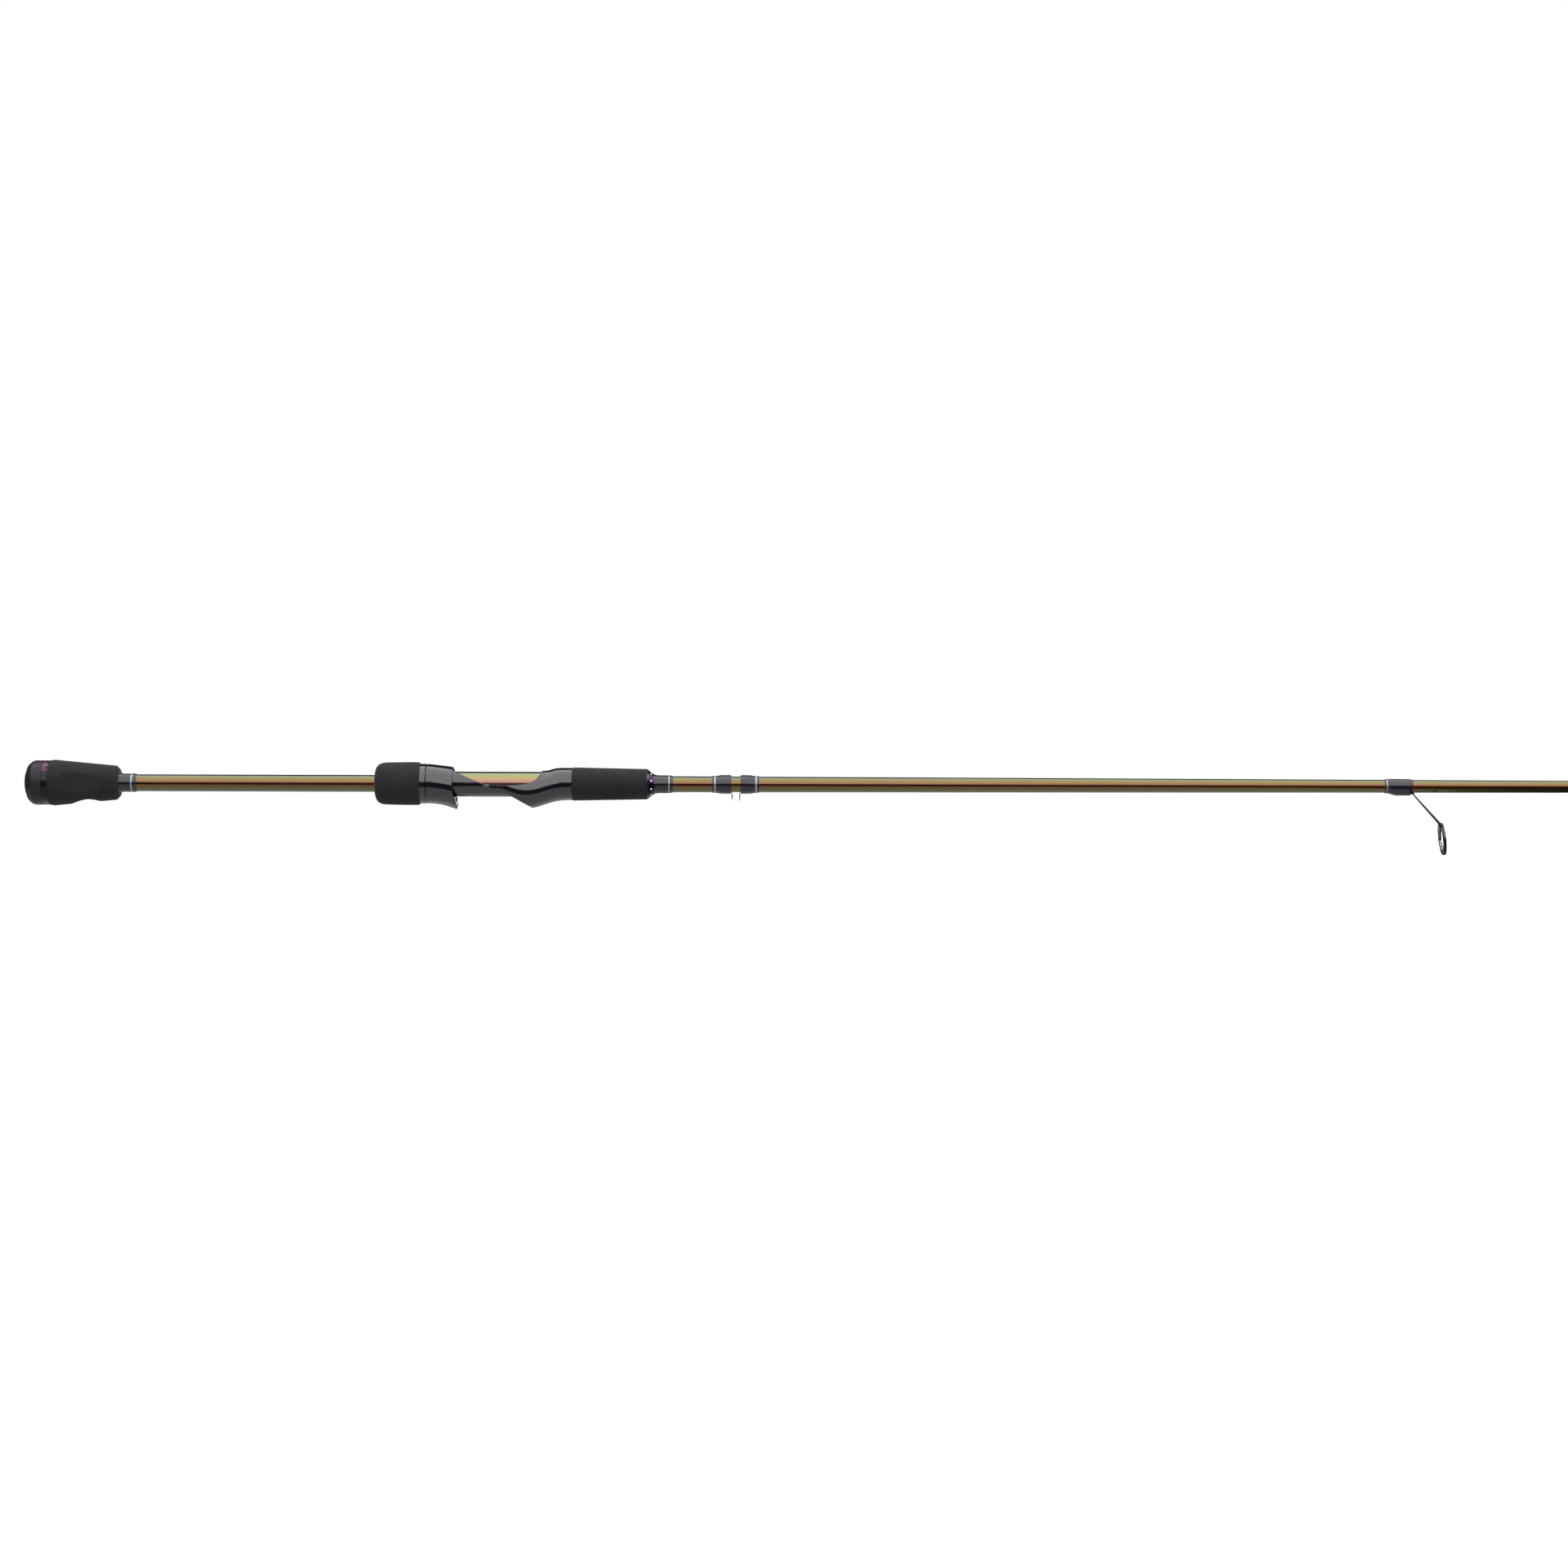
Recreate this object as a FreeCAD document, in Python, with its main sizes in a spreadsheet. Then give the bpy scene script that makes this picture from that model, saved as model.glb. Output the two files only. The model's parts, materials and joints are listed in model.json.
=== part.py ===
import FreeCAD, Part
import os
import re
import Sketcher

# One-piece graphite spinning rod. The rod lies along +X from the butt face at the origin to the
# tip-top, with +Z up and the line guides hanging towards -Z. All sizes are millimetres.

document = FreeCAD.newDocument("spinning_rod")
sheet = document.addObject("Spreadsheet::Sheet", "Dims")

DIMENSIONS = (
    # the graphite blank
    ("rod_length", 2134.0, "butt face to the end of the tip-top"),
    ("blank_start", 3.0, "depth of the cap's floor, where the blank starts"),
    ("blank_end", 2128.0, "end of the blank inside the tip-top tube"),
    ("straight_end", 250.0, "end of the parallel stretch under the handle"),
    ("taper_one", 420.0, "first change of taper"),
    ("taper_two", 600.0, "second change of taper"),
    ("taper_three", 983.0, "start of the fast tip taper"),
    ("butt_radius", 5.47, "blank radius under the handle"),
    ("radius_one", 5.20, "blank radius at the first change"),
    ("radius_two", 4.83, "blank radius at the second change"),
    ("radius_three", 3.92, "blank radius at the third change"),
    ("tip_radius", 1.0, "blank radius at its tip"),
    ("butt_wall", 1.0, "blank wall at the butt"),
    ("tip_wall", 0.35, "blank wall at the tip"),
    # butt cap and its collar
    ("cap_radius", 14.3, "butt cap outside radius"),
    ("cap_face", 5.0, "radius of the flat on the end of the cap"),
    ("cap_dome", 4.8, "length of the cap's rounded end"),
    ("cap_curve", 12.5, "radius of the rounding between face and wall"),
    ("cap_end", 11.9, "end of the cap, start of the collar"),
    ("collar_end", 15.8, "end of the collar"),
    # rear grip
    ("grip_nose", 18.8, "station of the rear grip's fattest ring"),
    ("grip_nose_radius", 14.75, "radius there"),
    ("grip_shoulder", 58.5, "station where the front rounding starts"),
    ("grip_shoulder_radius", 11.05, "radius there"),
    ("grip_end", 60.9, "front end of the rear grip"),
    ("grip_end_radius", 8.3, "radius of its front rim"),
    ("notch_station", 40.6, "centre of the finger notch"),
    ("notch_curve", 22.0, "radius of the finger notch"),
    ("notch_floor", 10.7, "distance of the notch floor below the axis"),
    ("scoop_rear", 29.7, "centre of the round rear end of each thumb scoop"),
    ("scoop_rear_curve", 6.6, "radius of that end"),
    ("scoop_front", 46.0, "centre of the round front end of each thumb scoop"),
    ("scoop_front_curve", 3.5, "radius of that end"),
    ("scoop_floor", 12.0, "distance of each scoop's flat floor from the axis"),
    ("check_start", 57.9, "floor of the recess for the rear winding check"),
    ("check_radius", 7.6, "outside radius of the rear winding check"),
    ("rear_wrap_end", 71.6, "front end of the rear wrap"),
    # reel seat
    ("seat_start", 238.0, "rear end of the reel seat"),
    ("seat_end", 352.0, "front end of the reel seat"),
    ("sleeve_radius", 7.8, "outside radius of the painted sleeve"),
    ("sleeve_wall", 0.9, "wall of the painted sleeve"),
    ("arbor_length", 12.0, "length of each arbor ring"),
    ("thread_radius", 9.6, "crest radius of the seat's threaded tail"),
    ("barrel_end", 281.0, "end of the barrel that the hood slides on"),
    ("deck_start", 286.0, "start of the deck"),
    ("deck_radius", 8.3, "radius of the deck the reel foot lies on"),
    ("key_width", 2.8, "width of the hood's key"),
    ("key_floor", 8.7, "height of the floor of the key slot above the axis"),
    ("bill_radius", 10.6, "radius of the front hood at its mouth"),
    ("bill_drop", 4.8, "drop of the front hood's centre at its mouth"),
    ("bill_mouth", 326.8, "station of the front hood's lower lip"),
    ("bill_edge", 291.3, "station where the front hood's edge leaves the deck"),
    ("collar_radius", 10.4, "radius of the seat's front end"),
    ("bill_wall", 1.8, "wall of the front hood"),
    ("window_rear", 275.9, "rear end of the window over the sleeve"),
    ("window_wing", 291.3, "station where the window's falling edge starts to level out"),
    ("window_dip", 321.0, "station where the window's edge starts to rise"),
    ("window_front", 332.6, "front end of the window"),
    ("window_sill", -0.3, "height of the ends of the window's sill"),
    # sliding hood and locking nut
    ("running_fit", 0.08, "radial running fit of hood and nut on the seat"),
    ("clearance", 0.3, "clearance between hood collar and nut groove"),
    ("hood_start", 258.5, "rear face of the sliding hood"),
    ("hood_rim", 275.2, "front rim of the sliding hood at its top"),
    ("hood_lip", 278.0, "front lip of the sliding hood at its bottom"),
    ("hood_radius", 12.6, "radius of the sliding hood at its rear"),
    ("liner_thickness", 0.6, "thickness of the stainless hood liners"),
    ("liner_proud", 0.9, "how far the hood liner stands out of the lip"),
    ("neck_radius", 10.5, "radius of the neck that the nut turns on"),
    ("neck_flange", 11.2, "radius of the flange that holds the nut"),
    ("flange_width", 1.2, "width of that flange"),
    ("nut_start", 225.0, "rear end of the locking nut's grip"),
    ("nut_grip_end", 254.3, "front end of the locking nut's grip"),
    ("nut_end", 258.2, "front face of the locking nut"),
    ("nut_wall_end", 230.0, "inner face of the grip's closed rear end"),
    ("nut_radius", 13.87, "largest radius of the locking nut's grip"),
    ("nut_core_radius", 11.6, "radius of the nut's core under the grip"),
    ("nut_flange_radius", 12.8, "radius of the nut's front flange"),
    ("nut_hole", 6.1, "radius of the hole in the nut's rear end"),
    # fore grip and the rings in front of it
    ("fore_start_radius", 10.7, "largest radius of the fore grip"),
    ("fore_end", 400.3, "front end of the fore grip"),
    ("fore_end_radius", 9.8, "radius of the fore grip's front end"),
    ("cone_end", 401.7, "front end of the black winding check"),
    ("cone_end_radius", 8.6, "radius there"),
    ("ring_end", 404.3, "front end of the coloured winding check"),
    ("ring_end_radius", 6.8, "radius there"),
    ("stud_count", 9.0, "studs around the coloured winding check"),
    ("stud_radius", 0.55, "radius of each stud"),
    ("fore_wrap_end", 417.0, "front end of the fore wrap"),
    # hook keeper
    ("keeper_start", 442.1, "rear end of the hook keeper's wraps"),
    ("keeper_end", 472.4, "front end of the hook keeper's wraps"),
    ("keeper_wire", 0.7, "hook keeper wire diameter"),
    ("keeper_rear_leg", 455.0, "centre of the keeper's rear leg"),
    ("keeper_width", 4.9, "distance between the keeper's legs"),
    ("keeper_drop", 11.3, "distance of the keeper's bottom below the axis"),
    ("keeper_bend", 0.8, "bend radius of the keeper's feet"),
    # guides and tip-top
    ("guide_lean", 6.5, "lean of every guide ring, bottom towards the tip, in degrees"),
    ("leg_slope", 0.85, "run of a guide leg for each millimetre it drops"),
    ("wrap_thickness", 0.54, "thickness of the guide wraps over the blank"),
    ("tip_outside", 6.8, "outside diameter of the tip-top ring"),
    ("tip_drop", 4.6, "distance of the tip-top ring's centre below the axis"),
    ("tip_tube_start", 2116.0, "rear end of the tip-top tube"),
)

# Each guide from the butt end to the tip: its station, outside diameter and drop of its centre.
GUIDES = (
    (912.7, 21.3, 33.9),
    (1184.0, 13.2, 20.5),
    (1389.0, 9.2, 13.6),
    (1556.0, 7.0, 9.6),
    (1698.0, 7.0, 8.9),
    (1824.0, 7.0, 8.5),
    (1937.0, 7.0, 8.2),
    (2039.0, 7.0, 7.9),
)
for number, (station, outside, drop) in enumerate(GUIDES, start=1):
    DIMENSIONS += (
        ("guide_%d_station" % number, station, "station of guide %d's centre" % number),
        ("guide_%d_outside" % number, outside, "outside diameter of guide %d's ring" % number),
        ("guide_%d_drop" % number, drop, "distance of guide %d's centre below the axis" % number),
    )

for row, (alias, number, meaning) in enumerate(DIMENSIONS, start=1):
    sheet.set("A%d" % row, meaning)
    sheet.set("B%d" % row, str(number))
    sheet.setAlias("B%d" % row, alias)
document.recompute()

ALIASES = {alias for alias, number, meaning in DIMENSIONS}
EXPORTED = []


def bound(expression):
    """Point every dimension name in an expression at its cell of the sheet."""
    def cell(word):
        name = word.group()
        return "Dims." + name if name in ALIASES else name
    return re.sub(r"[a-z][a-z_0-9]*", cell, expression)


def value(expression):
    """The present value of an expression of dimension names."""
    return float(sheet.evalExpression(expression))


def node(item, label):
    """Give a finished sub-part its label and put it on the export list."""
    item.Label = label
    EXPORTED.append(item)
    return item


def new_body(name):
    """A body named as a working shape until node() gives it its label."""
    body = document.addObject("PartDesign::Body", name)
    body.Label = name
    return body


def new_sketch(body, plane, name, offset=None):
    """A sketch on one of the body's own origin planes, moved along its normal by the offset."""
    sketch = body.newObject("Sketcher::SketchObject", name)
    for feature in body.Origin.OriginFeatures:
        if feature.Role == plane:
            sketch.AttachmentSupport = [(feature, "")]
    sketch.MapMode = "FlatFace"
    if offset is not None:
        sketch.setExpression(".AttachmentOffset.Base.z", bound(offset))
    return sketch


def locate(sketch, edge, end, across, up):
    """Hold one end of an edge at two expressions, measured from the sketch's origin."""
    for kind, axis, expression in (("DistanceX", -2, across), ("DistanceY", -1, up)):
        if expression == "0":
            sketch.addConstraint(Sketcher.Constraint("PointOnObject", edge, end, axis))
        else:
            place = sketch.addConstraint(
                Sketcher.Constraint(kind, -1, 1, edge, end, value(expression)))
            sketch.setExpression("Constraints[%d]" % place, bound(expression))


def draw_edge(sketch, begin, finish, bend=None):
    """Draw a line, or an arc when a bend is given: "+" and a radius turns left, "-" right.
    Returns the edge and the numbers of its ends in the order they are passed."""
    if bend is None:
        return sketch.addGeometry(Part.LineSegment(begin, finish), False), 1, 2
    left = bend.startswith("+")
    radius = value(bend[1:])
    chord = finish - begin
    reach = max(radius ** 2 - chord.Length ** 2 / 4, 0) ** 0.5
    side = FreeCAD.Vector(-chord.y, chord.x, 0).normalize() * (reach if left else -reach)
    circle = Part.Circle(begin + chord * 0.5 + side, FreeCAD.Vector(0, 0, 1), radius)
    first, last = (begin, finish) if left else (finish, begin)
    arc = Part.ArcOfCircle(circle, circle.parameter(first), circle.parameter(last))
    edge = sketch.addGeometry(arc, False)
    return (edge, 1, 2) if left else (edge, 2, 1)


def outline(sketch, points, closed=True):
    """Draw a chain of edges through (across, up) points, closed unless told otherwise. A third
    entry is the bend of the edge that arrives at the point."""
    places = [FreeCAD.Vector(value(point[0]), value(point[1]), 0) for point in points]
    ends = []
    for index in range(0 if closed else 1, len(points)):
        bend = points[index][2] if len(points[index]) == 3 else None
        edge, start, stop = draw_edge(sketch, places[index - 1], places[index], bend)
        locate(sketch, edge, stop, points[index][0], points[index][1])
        if bend is not None and closed:
            size = sketch.addConstraint(Sketcher.Constraint("Radius", edge, value(bend[1:])))
            sketch.setExpression("Constraints[%d]" % size, bound(bend[1:]))
        ends.append((edge, start, stop))
    if not closed:
        locate(sketch, ends[0][0], ends[0][1], points[0][0], points[0][1])
    for index in range(0 if closed else 1, len(ends)):
        edge, start, stop = ends[index - 1]
        following = ends[index]
        sketch.addConstraint(
            Sketcher.Constraint("Coincident", edge, stop, following[0], following[1]))


def revolve(body, name, points, kind="Revolution"):
    """Turn an outline of (along, out) points round the X axis of the body."""
    sketch = new_sketch(body, "XZ_Plane", name + "_profile")
    outline(sketch, points)
    feature = body.newObject("PartDesign::" + kind, name)
    feature.Profile = sketch
    feature.ReferenceAxis = (sketch, ["H_Axis"])
    feature.Angle = 360
    return feature


def turned(name, points):
    """A body turned round the X axis from one outline."""
    body = new_body(name)
    revolve(body, name + "_turn", points)
    return body


def side_cut(body, name, points, length="100", kind="Pocket"):
    """Cut (or, as a Pad, add) a side-view outline right across the body."""
    sketch = new_sketch(body, "XZ_Plane", name + "_profile")
    outline(sketch, points)
    feature = body.newObject("PartDesign::" + kind, name)
    feature.Profile = sketch
    feature.SideType = "Symmetric"
    feature.setExpression("Length", bound(length))
    return feature


def loft(body, name, sections, kind="AdditiveLoft", ruled=False):
    """Loft through circles of (station, drop of the centre, radius)."""
    circles = []
    for number, (station, drop, radius) in enumerate(sections):
        sketch = new_sketch(body, "YZ_Plane", "%s_%d" % (name, number), station)
        centre = FreeCAD.Vector(0, -value(drop), 0)
        axis = FreeCAD.Vector(0, 0, 1)
        edge = sketch.addGeometry(Part.Circle(centre, axis, value(radius)), False)
        place = sketch.addConstraint(Sketcher.Constraint("Radius", edge, value(radius)))
        sketch.setExpression("Constraints[%d]" % place, bound(radius))
        up = "0" if value(drop) == 0 else "-(" + drop + ")"
        locate(sketch, edge, 3, "0", up)
        circles.append(sketch)
    feature = body.newObject("PartDesign::" + kind, name)
    feature.Profile = circles[0]
    feature.Sections = circles[1:]
    feature.Ruled = ruled
    return feature


def place(item, along, up, lean=None):
    """Move an item to (along, 0, up) and lean it about Y by a dimension in degrees."""
    if lean is not None:
        item.Placement = FreeCAD.Placement(
            FreeCAD.Vector(0, 0, 0), FreeCAD.Rotation(FreeCAD.Vector(0, 1, 0), -1))
        item.setExpression(".Placement.Rotation.Angle", bound(lean))
    item.setExpression(".Placement.Base.x", bound(along))
    item.setExpression(".Placement.Base.z", bound(up))
    return item


def combine(kind, name, base, tool):
    """A boolean of two objects."""
    item = document.addObject("Part::" + kind, name)
    item.Base = base
    item.Tool = tool
    return item


def together(kind, name, pieces):
    """A fusion or a compound of several objects."""
    item = document.addObject("Part::" + kind, name)
    if kind == "Compound":
        item.Links = pieces
    else:
        item.Shapes = pieces
    return item


def bar(name, first, second):
    """A straight bar lofted between two upright circles of (x, y, z, radius)."""
    rings = []
    for number, (along, across, up, radius) in enumerate((first, second)):
        ring = document.addObject("Part::Circle", "%s_%d" % (name, number))
        ring.setExpression("Radius", bound(radius))
        ring.Placement = FreeCAD.Placement(
            FreeCAD.Vector(0, 0, 0), FreeCAD.Rotation(FreeCAD.Vector(0, 1, 0), 90))
        ring.setExpression(".Placement.Base.x", bound(along))
        ring.setExpression(".Placement.Base.y", bound(across))
        ring.setExpression(".Placement.Base.z", bound(up))
        rings.append(ring)
    item = document.addObject("Part::Loft", name)
    item.Sections = rings
    item.Solid = True
    return item


# --- the blank ---------------------------------------------------------------------------------

STATIONS = (
    ("blank_start", "butt_radius"),
    ("straight_end", "butt_radius"),
    ("taper_one", "radius_one"),
    ("taper_two", "radius_two"),
    ("taper_three", "radius_three"),
    ("blank_end", "tip_radius"),
)


def blank_radius(station):
    """Expression for the blank's outside radius at a station between two taper changes."""
    for (start, wide), (stop, narrow) in zip(STATIONS, STATIONS[1:]):
        if value(station) <= value(stop) or stop == "blank_end":
            slope = "(%s - %s) / (%s - %s)" % (narrow, wide, stop, start)
            return "(%s + (%s - (%s)) * %s)" % (wide, station, start, slope)


def wall(station):
    """Expression for the blank's wall, thinning evenly from butt to tip."""
    run = "(%s - straight_end) / (blank_end - straight_end)" % station
    return "butt_wall - (butt_wall - tip_wall) * %s" % run


outside = [(station, radius) for station, radius in STATIONS]
inside = [("blank_end", "tip_radius - tip_wall")]
for station, radius in (STATIONS[4], STATIONS[3], STATIONS[2], STATIONS[1]):
    inside.append((station, "%s - (%s)" % (radius, wall(station))))
inside.append(("blank_start", "butt_radius - butt_wall"))
node(turned("blank_tube", outside + inside), "blank")

envelope = turned("blank_envelope", [("blank_start", "0")] + outside + [("blank_end", "0")])


GROOVE_FLOOR = " + 0.15"


def wrap(name, stations, groove):
    """A thread wrap on the blank: outside points of (station, height over the blank), with a
    shallow groove of (start, end) that holds the trim band."""
    first = stations[0][0]
    last = stations[-1][0]
    points = [(first, blank_radius(first))]
    for station, height in stations:
        points.append((station, "%s + %s" % (blank_radius(station), height)))
    points.append((last, blank_radius(last)))
    body = turned(name, points)
    start, end = groove
    revolve(body, name + "_groove", [
        (start, blank_radius(start) + GROOVE_FLOOR),
        (start, "30"),
        (end, "30"),
        (end, blank_radius(end) + GROOVE_FLOOR),
    ], "Groove")
    return body


def trim(name, start, end, height):
    """A trim band that fills its groove and stands at the given height over the blank."""
    return turned(name, [
        (start, blank_radius(start) + GROOVE_FLOOR),
        (start, "%s + %s" % (blank_radius(start), height)),
        (end, "%s + %s" % (blank_radius(end), height)),
        (end, blank_radius(end) + GROOVE_FLOOR),
    ])


# --- butt cap, collar and rear grip ------------------------------------------------------------

node(turned("cap", [
    ("0", "0"),
    ("0", "cap_face"),
    ("cap_dome", "cap_radius", "-cap_curve"),
    ("cap_end", "cap_radius"),
    ("cap_end", "butt_radius"),
    ("blank_start", "butt_radius"),
    ("blank_start", "0"),
]), "butt_cap")

node(turned("collar", [
    ("cap_end", "butt_radius"),
    ("cap_end", "cap_radius"),
    ("collar_end", "cap_radius"),
    ("collar_end", "butt_radius"),
]), "butt_ring")

grip = turned("rear_grip_body", [
    ("collar_end", "butt_radius"),
    ("collar_end", "cap_radius - 0.3"),
    ("grip_nose", "grip_nose_radius", "-6.5"),
    ("grip_shoulder", "grip_shoulder_radius"),
    ("grip_end - 0.2", "grip_end_radius + 0.4", "-6"),
    ("grip_end", "grip_end_radius"),
    ("grip_end - 0.6", "check_radius"),
    ("check_start", "check_radius"),
    ("check_start", "butt_radius"),
])
notch = document.addObject("Part::Cylinder", "notch_tool")
notch.setExpression("Radius", bound("notch_curve"))
notch.Height = 60
notch.Placement = FreeCAD.Placement(
    FreeCAD.Vector(0, 30, 0), FreeCAD.Rotation(FreeCAD.Vector(1, 0, 0), 90))
notch.setExpression(".Placement.Base.x", bound("notch_station"))
notch.setExpression(".Placement.Base.z", bound("-notch_floor - notch_curve"))
grip_cut = combine("Cut", "rear_grip_notched", grip, notch)
for side, start in (("left", "scoop_floor"), ("right", "-scoop_floor - grip_nose_radius")):
    scoop = new_body("scoop_" + side)
    teardrop = new_sketch(scoop, "XZ_Plane", "scoop_%s_profile" % side, start)
    outline(teardrop, [
        ("scoop_rear", "scoop_rear_curve"),
        ("scoop_rear - scoop_rear_curve", "0", "+scoop_rear_curve"),
        ("scoop_rear", "-scoop_rear_curve", "+scoop_rear_curve"),
        ("scoop_front", "-scoop_front_curve"),
        ("scoop_front + scoop_front_curve", "0", "+scoop_front_curve"),
        ("scoop_front", "scoop_front_curve", "+scoop_front_curve"),
    ])
    pad = scoop.newObject("PartDesign::Pad", "scoop_%s_pad" % side)
    pad.Profile = teardrop
    pad.setExpression("Length", bound("grip_nose_radius"))
    grip_cut = combine("Cut", "rear_grip_scooped_" + side, grip_cut, scoop)
node(grip_cut, "rear_grip")

node(turned("rear_check_ring", [
    ("check_start", "butt_radius"),
    ("check_start", "check_radius"),
    ("check_start + 2.5", "check_radius"),
    ("check_start + 2.5", "check_radius - 0.7"),
    ("check_start + 1.2", "check_radius - 0.75"),
    ("check_start + 1.2", "butt_radius"),
]), "rear_check")

REAR_TRIM = ("rear_wrap_end - 3.7", "rear_wrap_end - 2.6")
node(wrap("rear_wrap_body", [
    ("check_start + 1.2", "1.35"),
    ("check_start + 3.2", "0.75"),
    ("check_start + 5.5", "0.4"),
    ("rear_wrap_end - 1.1", "0.48"),
    ("rear_wrap_end", "0.05"),
], REAR_TRIM), "rear_wrap")
node(trim("rear_trim_band", *REAR_TRIM, "0.52"), "rear_trim")

# --- reel seat ---------------------------------------------------------------------------------

node(turned("sleeve", [
    ("seat_start", "sleeve_radius - sleeve_wall"),
    ("seat_start", "sleeve_radius"),
    ("seat_end", "sleeve_radius"),
    ("seat_end", "sleeve_radius - sleeve_wall"),
]), "seat_sleeve")

for label, start in (("rear", "seat_start"), ("front", "seat_end - 2 - arbor_length")):
    end = start + " + arbor_length"
    node(turned("arbor_" + label, [
        (start, blank_radius(start)),
        (start, "sleeve_radius - sleeve_wall"),
        (end, "sleeve_radius - sleeve_wall"),
        (end, blank_radius(end)),
    ]), "seat_arbor_" + label)

BILL = (
    ("deck_start + 2", "0", "deck_radius + 0.02"),
    ("deck_start + 14", "bill_drop * 0.33", "deck_radius + 0.9"),
    ("bill_mouth - 12", "bill_drop * 0.8", "bill_radius - 0.2"),
    ("bill_mouth", "bill_drop", "bill_radius"),
    ("bill_mouth + 6.4", "bill_drop * 0.65", "bill_radius - 0.1"),
    ("bill_mouth + 12.7", "bill_drop * 0.26", "bill_radius - 0.2"),
    ("bill_mouth + 19", "bill_drop * 0.04", "collar_radius"),
    ("seat_end", "0", "collar_radius"),
)
FOOT_POCKET = (
    ("bill_mouth - 20", "bill_drop", "bill_radius - bill_wall"),
    ("bill_mouth", "bill_drop", "bill_radius - bill_wall"),
    ("bill_mouth + 13", "1.2", "deck_radius + 0.05"),
)
seat = new_body("seat")
loft(seat, "seat_bill", BILL)
side_cut(seat, "seat_bill_slant", [
    ("deck_start + 1", "1.5"),
    ("bill_edge", "-1.0"),
    ("bill_mouth - 15", "-7.2", "-48"),
    ("bill_mouth - 1.6", "-bill_drop - bill_radius + 0.6"),
    ("bill_mouth + 1.2", "-bill_drop - bill_radius", "+2.2"),
    ("bill_mouth + 1.2", "-30"),
    ("deck_start + 1", "-30"),
])
loft(seat, "seat_foot_pocket", FOOT_POCKET, "SubtractiveLoft", True)
revolve(seat, "seat_core", [
    ("seat_start", "sleeve_radius"),
    ("seat_start", "thread_radius - 0.5"),
    ("seat_start + 0.5", "thread_radius"),
    ("barrel_end", "thread_radius"),
    ("deck_start", "deck_radius"),
    ("bill_mouth + 5", "deck_radius"),
    ("bill_mouth + 10", "deck_radius + 0.5"),
    ("bill_mouth + 14", "collar_radius - 0.4"),
    ("bill_mouth + 17.5", "collar_radius"),
    ("seat_end", "collar_radius"),
    ("seat_end", "sleeve_radius"),
])
revolve(seat, "seat_bore", [
    ("seat_start - 1", "0"),
    ("seat_start - 1", "sleeve_radius"),
    ("seat_end + 1", "sleeve_radius"),
    ("seat_end + 1", "0"),
], "Groove")
side_cut(seat, "seat_window", [
    ("window_rear", "sleeve_radius + 0.2"),
    ("window_wing", "window_sill + 1.6"),
    ("window_wing + 5.7", "window_sill", "+13"),
    ("window_dip", "window_sill", "+90"),
    ("window_front", "sleeve_radius + 0.5", "+14.1"),
    ("window_front", "20"),
    ("window_rear", "20"),
])
side_cut(seat, "seat_key_slot", [
    ("seat_start + 5", "key_floor"),
    ("barrel_end + 3", "key_floor"),
    ("barrel_end + 3", "20"),
    ("seat_start + 5", "20"),
], "key_width + 0.3")
side_cut(seat, "seat_foot_flat", [
    ("hood_start + 4.5", "-deck_radius"),
    ("deck_start", "-deck_radius"),
    ("deck_start", "-30"),
    ("hood_start + 4.5", "-30"),
])
node(seat, "seat_body")

front_liner = new_body("front_liner_body")
loft(front_liner, "front_liner_outside", FOOT_POCKET, "AdditiveLoft", True)
loft(front_liner, "front_liner_inside", [
    (FOOT_POCKET[0][0] + " - 1", FOOT_POCKET[0][1], FOOT_POCKET[0][2] + " - liner_thickness"),
    (FOOT_POCKET[1][0], FOOT_POCKET[1][1], FOOT_POCKET[1][2] + " - liner_thickness"),
    (FOOT_POCKET[2][0] + " + 1", FOOT_POCKET[2][1], FOOT_POCKET[2][2] + " - liner_thickness"),
], "SubtractiveLoft", True)
side_cut(front_liner, "front_liner_lower", [
    ("200", "-bill_drop - 4.5"),
    ("400", "-bill_drop - 4.5"),
    ("400", "30"),
    ("200", "30"),
])
side_cut(front_liner, "front_liner_mouth", [
    ("200", "-30"),
    ("200", "0"),
    ("bill_mouth - 10.8", "-bill_drop - 4.5"),
    ("bill_mouth + 0.3", "-bill_drop - bill_radius"),
    ("bill_mouth + 0.3", "-30"),
])
side_cut(front_liner, "front_liner_end", [
    ("bill_mouth + 9", "0"),
    ("bill_mouth + 9", "-30"),
    ("400", "-30"),
    ("400", "0"),
])
node(front_liner, "front_hood_liner")

# --- sliding hood ------------------------------------------------------------------------------

HOOD_POCKET = (
    ("hood_start + 4.5", "2.0", "thread_radius - 0.4"),
    ("hood_lip + 1.6", "4.1", "11.0"),
)


def hood_rim(ahead):
    """Side-view outline of everything in front of the hood's rim, moved ahead by a distance."""
    return [
        ("hood_rim + " + ahead, "-2"),
        ("hood_rim + 1.1 + " + ahead, "-7.8", "+18"),
        ("hood_lip - 0.4 + " + ahead, "-15.2"),
        ("hood_lip + " + ahead, "-30"),
        ("hood_lip + 30", "-30"),
        ("hood_lip + 30", "30"),
        ("hood_rim + " + ahead, "30"),
    ]


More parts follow.
